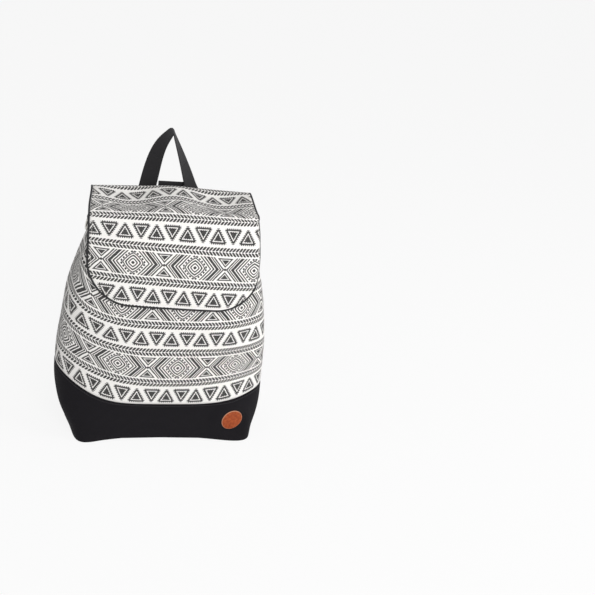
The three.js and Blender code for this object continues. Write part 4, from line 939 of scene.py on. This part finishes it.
def smooth_rows(rows, count):
    """Rows of a band sampled evenly along its middle, which is in their first three columns."""
    places = lengths_along(rows[:, :3], 0)
    slope = np.gradient(rows, places, axis=0)
    at = np.linspace(0, places[-1], count)
    i = np.clip(np.searchsorted(places, at) - 1, 0, len(places) - 2)
    span = (places[i + 1] - places[i])[:, None]
    t = (at[:, None] - places[i][:, None]) / span
    return eased_between(rows[i], rows[i + 1], slope[i], slope[i + 1], span, t)


def black_webbing(tree, shader):
    flat = flat_place(tree, PER_FLAT_UNIT)
    parts = node(tree, "ShaderNodeSeparateXYZ", {0: flat})
    across, along = Sum(parts.outputs[0]), Sum(parts.outputs[1])
    rib_pitch, cord_pitch = 1.5, 2.1
    rib = abs((along * (math.pi / rib_pitch) + abs(across.wrapped(2 * cord_pitch)) * 0.9).made("SINE"))
    cord = abs((across * (math.pi / cord_pitch)).made("SINE"))
    fuzz = node(tree, "ShaderNodeTexNoise", {"Vector": flat, "Scale": 0.5, "Detail": 4.0, "Roughness": 0.65})
    # Painted shade: the rib wave darkens the colour in the grooves between the ribs, and the fuzz adds a random tone.
    tone = rib * 0.35 + Sum(fuzz.outputs["Fac"]) * 0.65
    dyed = blended(tree, tone, colour(22, 21, 23), colour(46, 45, 47))
    surfaced(tree, shader, dyed, tone * 0.2 + 0.6, {"Sheen Weight": 0.04, "Specular IOR Level": 0.2})
    bumped(tree, shader, rib * 0.6 + cord * 0.4, 0.6, 0.3)


webbing = finish_material("black webbing", black_webbing)


def handle_twist(share):
    """Turn of the handle's webbing: flat where it is sewn, turning up each leg, edge-on at the tip."""
    rise = 1 - np.abs(2 * share - 1)
    left = LEFT_LEG_TURN + (TIP_TURN - LEFT_LEG_TURN) * rise**LEFT_LEG_HOLD
    right = RIGHT_LEG_TURN + (TIP_TURN - RIGHT_LEG_TURN) * rise
    return np.radians(np.where(share < 0.5, left, right)) * smooth(0.02, 0.32, rise)


def handle_lean(middle):
    """Draws the loop's legs to a tip left of the middle: the left leg bows out, the right one is nearly straight."""
    rise = (middle[:, 2] - middle[:, 2].min()) / np.ptp(middle[:, 2])
    bow = (LEFT_FOOT - HANDLE_TIP - LEFT_LEG_SLANT) * rise**LEFT_LEG_BOW
    left = -LEFT_FOOT + LEFT_LEG_SLANT * rise + bow
    right = RIGHT_FOOT - (RIGHT_FOOT + HANDLE_TIP) * rise**RIGHT_LEG_BOW
    on_left = np.arange(len(middle)) < len(middle) / 2
    level = middle[:, 2] - HANDLE_SINK * rise**2
    return np.stack([np.where(on_left, left, right), middle[:, 1], level], -1)


handle = webbing_band("webbing_handle", "handle", twist=handle_twist, lean=handle_lean)
keeper = webbing_band("webbing_keeper", "strap_keeper")

# Ring tabs: short lengths of the same webbing, folded over each ring's straight bar and sewn to the bag,
# two at the lower back corners and two at the sides of the mouth.
tabs = [
    webbing_band(f"webbing_{level}_tab_{side}", f"{level}_ring_tab_{side}", step=TAB_STEP)
    for level in ("lower", "upper")
    for side in ("left", "right")
]

# Shoulder strap: one long length of the webbing from the left hook's eye, through the keeper,
# through the slider, round the right hook's eye and back to the slider's middle bar.
strap = webbing_band("webbing_shoulder_strap", "shoulder_strap", step=STRAP_STEP)
for band in [handle, keeper, *tabs, strap]:
    band.data.materials.append(webbing)

# Rings: four D-rings of bent and welded nickel-plated wire, the straight bar held in the webbing tab's fold
# and the bow outside it, so that each ring swings on its bar.
RING_WIRE, RING_SIDES, RING_HALF_WIDTH, RING_HEIGHT, RING_CORNER = 1.75, 16, 12.5, 17, 3.5


def d_outline():
    """Middle line of a D-ring's wire, its straight bar on the X axis."""
    straight = RING_HALF_WIDTH - RING_CORNER
    corner = np.linspace(-np.pi / 2, 0, 10)
    right = np.stack([straight + RING_CORNER * np.cos(corner), RING_CORNER + RING_CORNER * np.sin(corner)], -1)
    bow = np.linspace(0, np.pi, 48)[1:-1]
    top = np.stack([RING_HALF_WIDTH * np.cos(bow), RING_CORNER + (RING_HEIGHT - RING_CORNER) * np.sin(bow)], -1)
    left = right[::-1] * [-1, 1]
    bar = np.stack([np.linspace(-straight, straight, 12)[1:-1], np.zeros(10)], -1)
    return np.concatenate([bar, right, top, left])


joint_of = {joint["child"]: joint for joint in frame["joints"]}


def joint_place(body_name):
    """Where a moving body turns, and the way of its axis."""
    joint = joint_of[body_name]
    return np.array(joint["pos_m"], float) / MM, unit(np.array(joint["axis"], float))


for level in ("lower", "upper"):
    for side in ("left", "right"):
        body_name = f"{level}_ring_{side}"
        place, bar_way = joint_place(body_name)
        verts = np.array([v.co[:] for v in frame["nodes"][body_name].data.vertices]) / MM
        bow_way = verts.mean(0) - place
        bow_way = unit(bow_way - bar_way * (bow_way @ bar_way))
        outline = d_outline()
        path = place + outline[:, :1] * bar_way + outline[:, 1:] * bow_way
        ring = grown(
            f"wire_{body_name}",
            SWEPT,
            path_mesh([path], closed=True),
            Radius=RING_WIRE * MM,
            Sides=RING_SIDES,
            Material=nickel_plate,
        )
        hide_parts(body_name)
        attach(ring, body_name)

# Swivel hooks: nickel-plated castings. The strap is sewn round each eye, whose headed post the hook turns on,
# and a sprung gate on a pin closes the hook's mouth.
HOOK_EDGE, GATE_EDGE, HOOK_EDGE_STEPS = 0.7, 0.35, 3
for side in ("left", "right"):
    for cast, body_name, edge in (
        ("hook_eye", "bag", HOOK_EDGE),
        ("hook_body", f"hook_{side}", HOOK_EDGE),
        ("hook_gate", f"gate_{side}", GATE_EDGE),
    ):
        part = rounded_copy(f"cast_{cast}_{side}", f"{cast}_{side}", edge, steps=HOOK_EDGE_STEPS)
        part.data.materials.append(nickel_plate)
        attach(part, body_name)

# Strap slider: a nickel-plated wire frame with a middle bar, bent and welded. The strap is threaded through it,
# and the strap's own end is sewn round the bar.
SLIDER_EDGE = 0.4
slider = rounded_copy("wire_strap_slider", "strap_slider", SLIDER_EDGE)
slider.data.materials.append(nickel_plate)
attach(slider, "bag")

# Leather patch: a round of tan leather on the front of the base, low on the right, its face left bare.
# The cut edge is paler than the face, which has a fine pebble grain and rubbed high spots.
PATCH_RADIUS, PATCH_THICKNESS, PATCH_CROWN, PATCH_EDGE = 18, 1.8, 0.25, 0.8
PATCH_ROUND_STEPS, PATCH_FACE_RINGS, PATCH_EDGE_RINGS = 72, 20, 9


def patch_points():
    """Rings of the patch from the middle of its face to its back, with a burnished edge."""
    rise = unit(np.array([0, 0, 1.0]) - patch_normal * patch_normal[2])
    side = np.cross(rise, patch_normal)
    angle = np.linspace(0, 2 * np.pi, PATCH_ROUND_STEPS + 1)
    half, face_radius = PATCH_THICKNESS / 2, PATCH_RADIUS - PATCH_EDGE
    face, edge = np.linspace(0.02, 0.97, PATCH_FACE_RINGS), np.linspace(0, np.pi, PATCH_EDGE_RINGS)
    radii = np.concatenate([face * face_radius, face_radius + PATCH_EDGE * np.sin(edge)])
    heights = np.concatenate([half + PATCH_CROWN * (1 - face**2), half * np.cos(edge)])
    ring = np.cos(angle)[:, None] * side + np.sin(angle)[:, None] * rise
    points = patch_middle + radii[:, None, None] * ring[None] + heights[:, None, None] * patch_normal
    flat = np.stack([radii[:, None] * np.cos(angle), radii[:, None] * np.sin(angle)], -1) / FLAT_UNIT
    return points, flat


patch = cloth("leather_patch_round", *patch_points(), closed=True)
close_ends(patch)


def tan_leather(tree, shader):
    flat_mm = flat_place(tree, PER_FLAT_UNIT)
    from_middle = Sum(node(tree, "ShaderNodeVectorMath", {0: flat_mm}, operation="LENGTH").outputs["Value"])
    grain = node(tree, "ShaderNodeTexVoronoi", {"Vector": flat_mm, "Scale": 1.3}, feature="DISTANCE_TO_EDGE")
    cloud = node(tree, "ShaderNodeTexNoise", {"Vector": flat_mm, "Scale": 0.2, "Detail": 5.0})
    rubbed = Sum(cloud.outputs["Fac"]) * 2.4 - 0.7
    tone = blended(tree, rubbed, colour(132, 54, 22), colour(184, 89, 44))
    rim_width, rim_fade = 0.9, 0.7
    rim = (from_middle * -1).under(-PATCH_RADIUS + rim_width, rim_fade)
    edged = blended(tree, rim, tone, colour(196, 140, 110))
    surfaced(tree, shader, edged, Sum(cloud.outputs["Fac"]) * 0.25 + 0.42, {"Specular IOR Level": 0.25})
    bumped(tree, shader, Sum(grain.outputs["Distance"]).both(0.25), 0.35, 0.25)


patch.data.materials.append(finish_material("tan leather", tan_leather))
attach(patch, "bag")
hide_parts("leather_patch")

# Stitching: rows of lockstitch in strong spun thread, black on the base and the webbing, pale along the flap's edge.
# The base is topstitched under its seam, the printed tube is closed by a felled seam down the middle of the back,
# and the feet of the handle, the keeper, the tabs and the strap's ends are sewn down in boxes.
STITCH_PITCH, STITCH_LENGTH, THREAD_RADIUS, THREAD_SEAT = 3.4, 2.7, 0.34, 0.12
SEAM_TOPSTITCH, FLAP_TOPSTITCH, BACK_SEAM = 4.5, 3.6, 3  # distance of the row from the edge
BOX_NEAR, BOX_FAR, BOX_SHARE, BOX_STEPS = 2.5, 12, 0.38, 9  # a sewn box on a band: from its end, and of its width
HANDLE_BOX_FAR, TAB_BOX_NEAR, TAB_BOX_FAR = 20, 1.5, 7
WALL_ROWS_SEWN = 16  # rows of the base's wall that reach below its topstitch


def stitch_tree():
    """Geometry nodes: a row of stitches along a path, each a rounded length of thread that lies along it."""
    usual = {"Pitch": STITCH_PITCH, "Length": STITCH_LENGTH, "Thread": THREAD_RADIUS}
    sizes = {label: ("NodeSocketFloat", size * MM) for label, size in usual.items()}
    tree, given, result, curve = path_tree("stitch row", sizes)
    spacing = {"Curve": curve, "Length": given.outputs["Pitch"]}
    marks = node(tree, "GeometryNodeResampleCurve", spacing, mode="LENGTH")
    bead = node(tree, "GeometryNodeMeshUVSphere", {"Segments": 8, "Rings": 5, "Radius": 1.0})
    half = node(tree, "ShaderNodeMath", {0: given.outputs["Length"], 1: 0.5}, operation="MULTIPLY")
    thread = given.outputs["Thread"]
    size = node(tree, "ShaderNodeCombineXYZ", {0: half.outputs[0], 1: thread, 2: thread})
    stitch = node(tree, "GeometryNodeTransform", {"Geometry": bead.outputs["Mesh"], "Scale": size.outputs[0]})
    way = node(tree, "GeometryNodeInputTangent")
    turn = node(tree, "FunctionNodeAlignRotationToVector", {"Vector": way.outputs[0]}, axis="X")
    laid = {"Points": marks.outputs[0], "Instance": stitch.outputs[0], "Rotation": turn.outputs[0]}
    return finish_tree(tree, given, result, node(tree, "GeometryNodeInstanceOnPoints", laid))


STITCHES = stitch_tree()


def spun_thread(dark, light):
    """Finish of a thread between two colours."""

    def finish(tree, shader):
        place = node(tree, "ShaderNodeTexCoord").outputs["Object"]
        strands = node(tree, "ShaderNodeTexNoise", {"Vector": place, "Scale": 2600.0, "Detail": 2.0})
        spun = blended(tree, strands.outputs["Fac"], dark, light)
        surfaced(tree, shader, spun, Sum(strands.outputs["Fac"]) * 0.2 + 0.5, {"Sheen Weight": 0.05})
        bumped(tree, shader, strands.outputs["Fac"], 0.3, 0.1)

    return finish


def sewn(name, paths, thread, closed=False):
    """Rows of stitches along paths, as one piece on the bag."""
    made = grown(
        name,
        STITCHES,
        path_mesh(paths, closed),
        Pitch=STITCH_PITCH * MM,
        Length=STITCH_LENGTH * MM,
        Thread=THREAD_RADIUS * MM,
        Material=thread,
    )
    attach(made, "bag")
    return made


def below_seam(distance):
    """Path round the base's wall, a set distance under its upper edge."""
    wall = base_grid[::-1][:WALL_ROWS_SEWN, :-1]
    down = lengths_along(wall, 0)
    path = [[np.interp(distance, down[:, i], wall[:, i, k]) for k in range(3)] for i in range(wall.shape[1])]
    path = np.array(path)
    return path + unit(path * [1 / BASE_WIDTH**2, 1 / BASE_DEPTH**2, 0]) * THREAD_SEAT


def sewn_box(node_name, near, far):
    """Box of stitches on a band between two distances along it, or back from its end, on its outer face."""
    middle, across, through, width = band_lines[node_name]
    along = lengths_along(middle, 0)
    ends = sorted(np.mod([near, far], along[-1]))
    places = np.linspace(ends[0], ends[1], BOX_STEPS)

    def lane(shares, at):
        spot, way, out = (
            np.stack([np.interp(at, along, rows[:, k]) for k in range(3)], -1) for rows in (middle, across, through)
        )
        outwards = np.sign((out * (spot * [1, 1, 0])).sum(-1, keepdims=True))
        return spot + way * shares[:, None] * width + out * outwards * (WEBBING / 2 + THREAD_SEAT)

    sides = np.linspace(-BOX_SHARE, BOX_SHARE, BOX_STEPS)
    edges = [lane(np.full(BOX_STEPS, share), places) for share in (-BOX_SHARE, BOX_SHARE)]
    ends_across = [lane(sides, np.full(BOX_STEPS, place)) for place in ends]
    return edges + ends_across + [lane(sides, places), lane(sides[::-1], places)]


black_thread = finish_material("black thread", spun_thread(colour(36, 35, 38), colour(58, 57, 60)))
pale_thread = finish_material("pale thread", spun_thread(colour(214, 210, 203), colour(240, 237, 232)))
sewn("seam_topstitch", [below_seam(SEAM_TOPSTITCH)], black_thread, closed=True)
back_seam = [body_grid[1:-2, 0] + [side, THREAD_SEAT, 0] for side in (-BACK_SEAM, BACK_SEAM)]
sewn("back_seam_stitches", back_seam, pale_thread)
flap_row, flap_row_outs = flap_edge(FLAP_TOPSTITCH)
flap_row = even_curve(flap_row + flap_row_outs * (FLAP_CANVAS / 2 + THREAD_SEAT), EDGE_STEPS)[0]
flap_thread = sewn("flap_topstitch", [flap_row], pale_thread)
boxes = []
for band_name, far in (("handle", HANDLE_BOX_FAR), ("strap_keeper", BOX_FAR), ("shoulder_strap", BOX_FAR)):
    boxes += sewn_box(band_name, BOX_NEAR, far) + sewn_box(band_name, -far, -BOX_NEAR)
for level in ("lower", "upper"):
    for side in ("left", "right"):
        boxes += sewn_box(f"{level}_ring_tab_{side}", TAB_BOX_NEAR, TAB_BOX_FAR)
sewn("webbing_stitches", boxes, black_thread)

flap_length * MM


# Studio: a pale seamless floor, one large soft light high in front, a weaker one from the right,
# and a camera a little above the bag, turned and rolled as the photograph's was.
FLOOR_HALF, FLOOR_GLOW = 14.0, 0.88  # metres, and the share of plain white that the camera sees on the floor
KEY_PLACE, KEY_AIM, KEY_SIZE, KEY_WATTS = (0.3, -2.7, 1.7), (0, 0, 0.22), 1.8, 44
FILL_PLACE, FILL_AIM, FILL_SIZE, FILL_WATTS = (1.9, -0.6, 1.3), (0, 0, 0.2), 1.4, 16
ROOM_LIGHT = 0.42
FIELD_OF_VIEW = 28


def seen_rays(tree):
    """1 for what the camera sees, directly or in something shiny or clear; 0 for light that falls on the bag."""
    rays = node(tree, "ShaderNodeLightPath").outputs
    straight = Sum(rays["Is Camera Ray"]).either(Sum(rays["Is Glossy Ray"]))
    return straight.either(Sum(rays["Is Transmission Ray"]))


def studio_floor():
    mesh = bpy.data.meshes.new("studio_floor")
    corners = [(x * FLOOR_HALF, y * FLOOR_HALF, 0) for x, y in ((-1, -1), (1, -1), (1, 1), (-1, 1))]
    mesh.from_pydata(corners, [], [(0, 1, 2, 3)])
    floor = placed("studio_floor", mesh)
    material = bpy.data.materials.new("studio floor")
    material.use_nodes = True
    tree = material.node_tree
    shader, output = tree.nodes["Principled BSDF"], tree.nodes["Material Output"]
    shader.inputs["Roughness"].default_value = 0.9
    shader.inputs["Specular IOR Level"].default_value = 0
    grain = node(tree, "ShaderNodeTexNoise", {"Scale": 3.0, "Detail": 3.0})
    pale = blended(tree, grain.outputs["Fac"], colour(238, 238, 238), colour(242, 242, 242))
    tree.links.new(shader.inputs["Base Color"], pale)
    glow = node(tree, "ShaderNodeEmission", {"Color": (1, 1, 1, 1), "Strength": 1.0})
    seen = seen_rays(tree) * FLOOR_GLOW
    mix = node(tree, "ShaderNodeMixShader", {0: seen, 1: shader.outputs[0], 2: glow.outputs[0]})
    tree.links.new(output.inputs["Surface"], mix.outputs[0])
    mesh.materials.append(material)


def soft_light(name, place, aim, size, watts):
    lamp = bpy.data.lights.new(name, "AREA")
    lamp.energy, lamp.shape, lamp.size = watts, "DISK", size
    light = placed(name, lamp)
    light.location = place
    light.rotation_euler = (Vector(aim) - Vector(place)).to_track_quat("-Z", "Y").to_euler()


studio_floor()
soft_light("key light", KEY_PLACE, KEY_AIM, KEY_SIZE, KEY_WATTS)
soft_light("fill light", FILL_PLACE, FILL_AIM, FILL_SIZE, FILL_WATTS)
world = bpy.data.worlds.new("studio")
bpy.context.scene.world = world
world.use_nodes = True
backdrop = world.node_tree.nodes["Background"]
strength = seen_rays(world.node_tree) * (1 - ROOM_LIGHT) + ROOM_LIGHT
world.node_tree.links.new(backdrop.inputs["Strength"], strength.socket)
backdrop.inputs["Color"].default_value = (1, 1, 1, 1)

camera_place = Vector((-0.2712, -1.7326, 1.0082))
camera_right, camera_up = Vector((0.9681, -0.2144, 0.1295)), Vector((-0.0289, 0.4181, 0.9080))
lens = bpy.data.cameras.new("camera")
lens.sensor_width = lens.sensor_height = 36
lens.angle = math.radians(FIELD_OF_VIEW)
camera = placed("camera", lens)
back = camera_right.cross(camera_up).normalized()
turn = Matrix((camera_right.normalized(), back.cross(camera_right).normalized(), back)).transposed()
camera.matrix_world = Matrix.Translation(camera_place) @ turn.to_4x4()
bpy.context.scene.camera = camera
bpy.context.scene.view_settings.view_transform = "Standard"
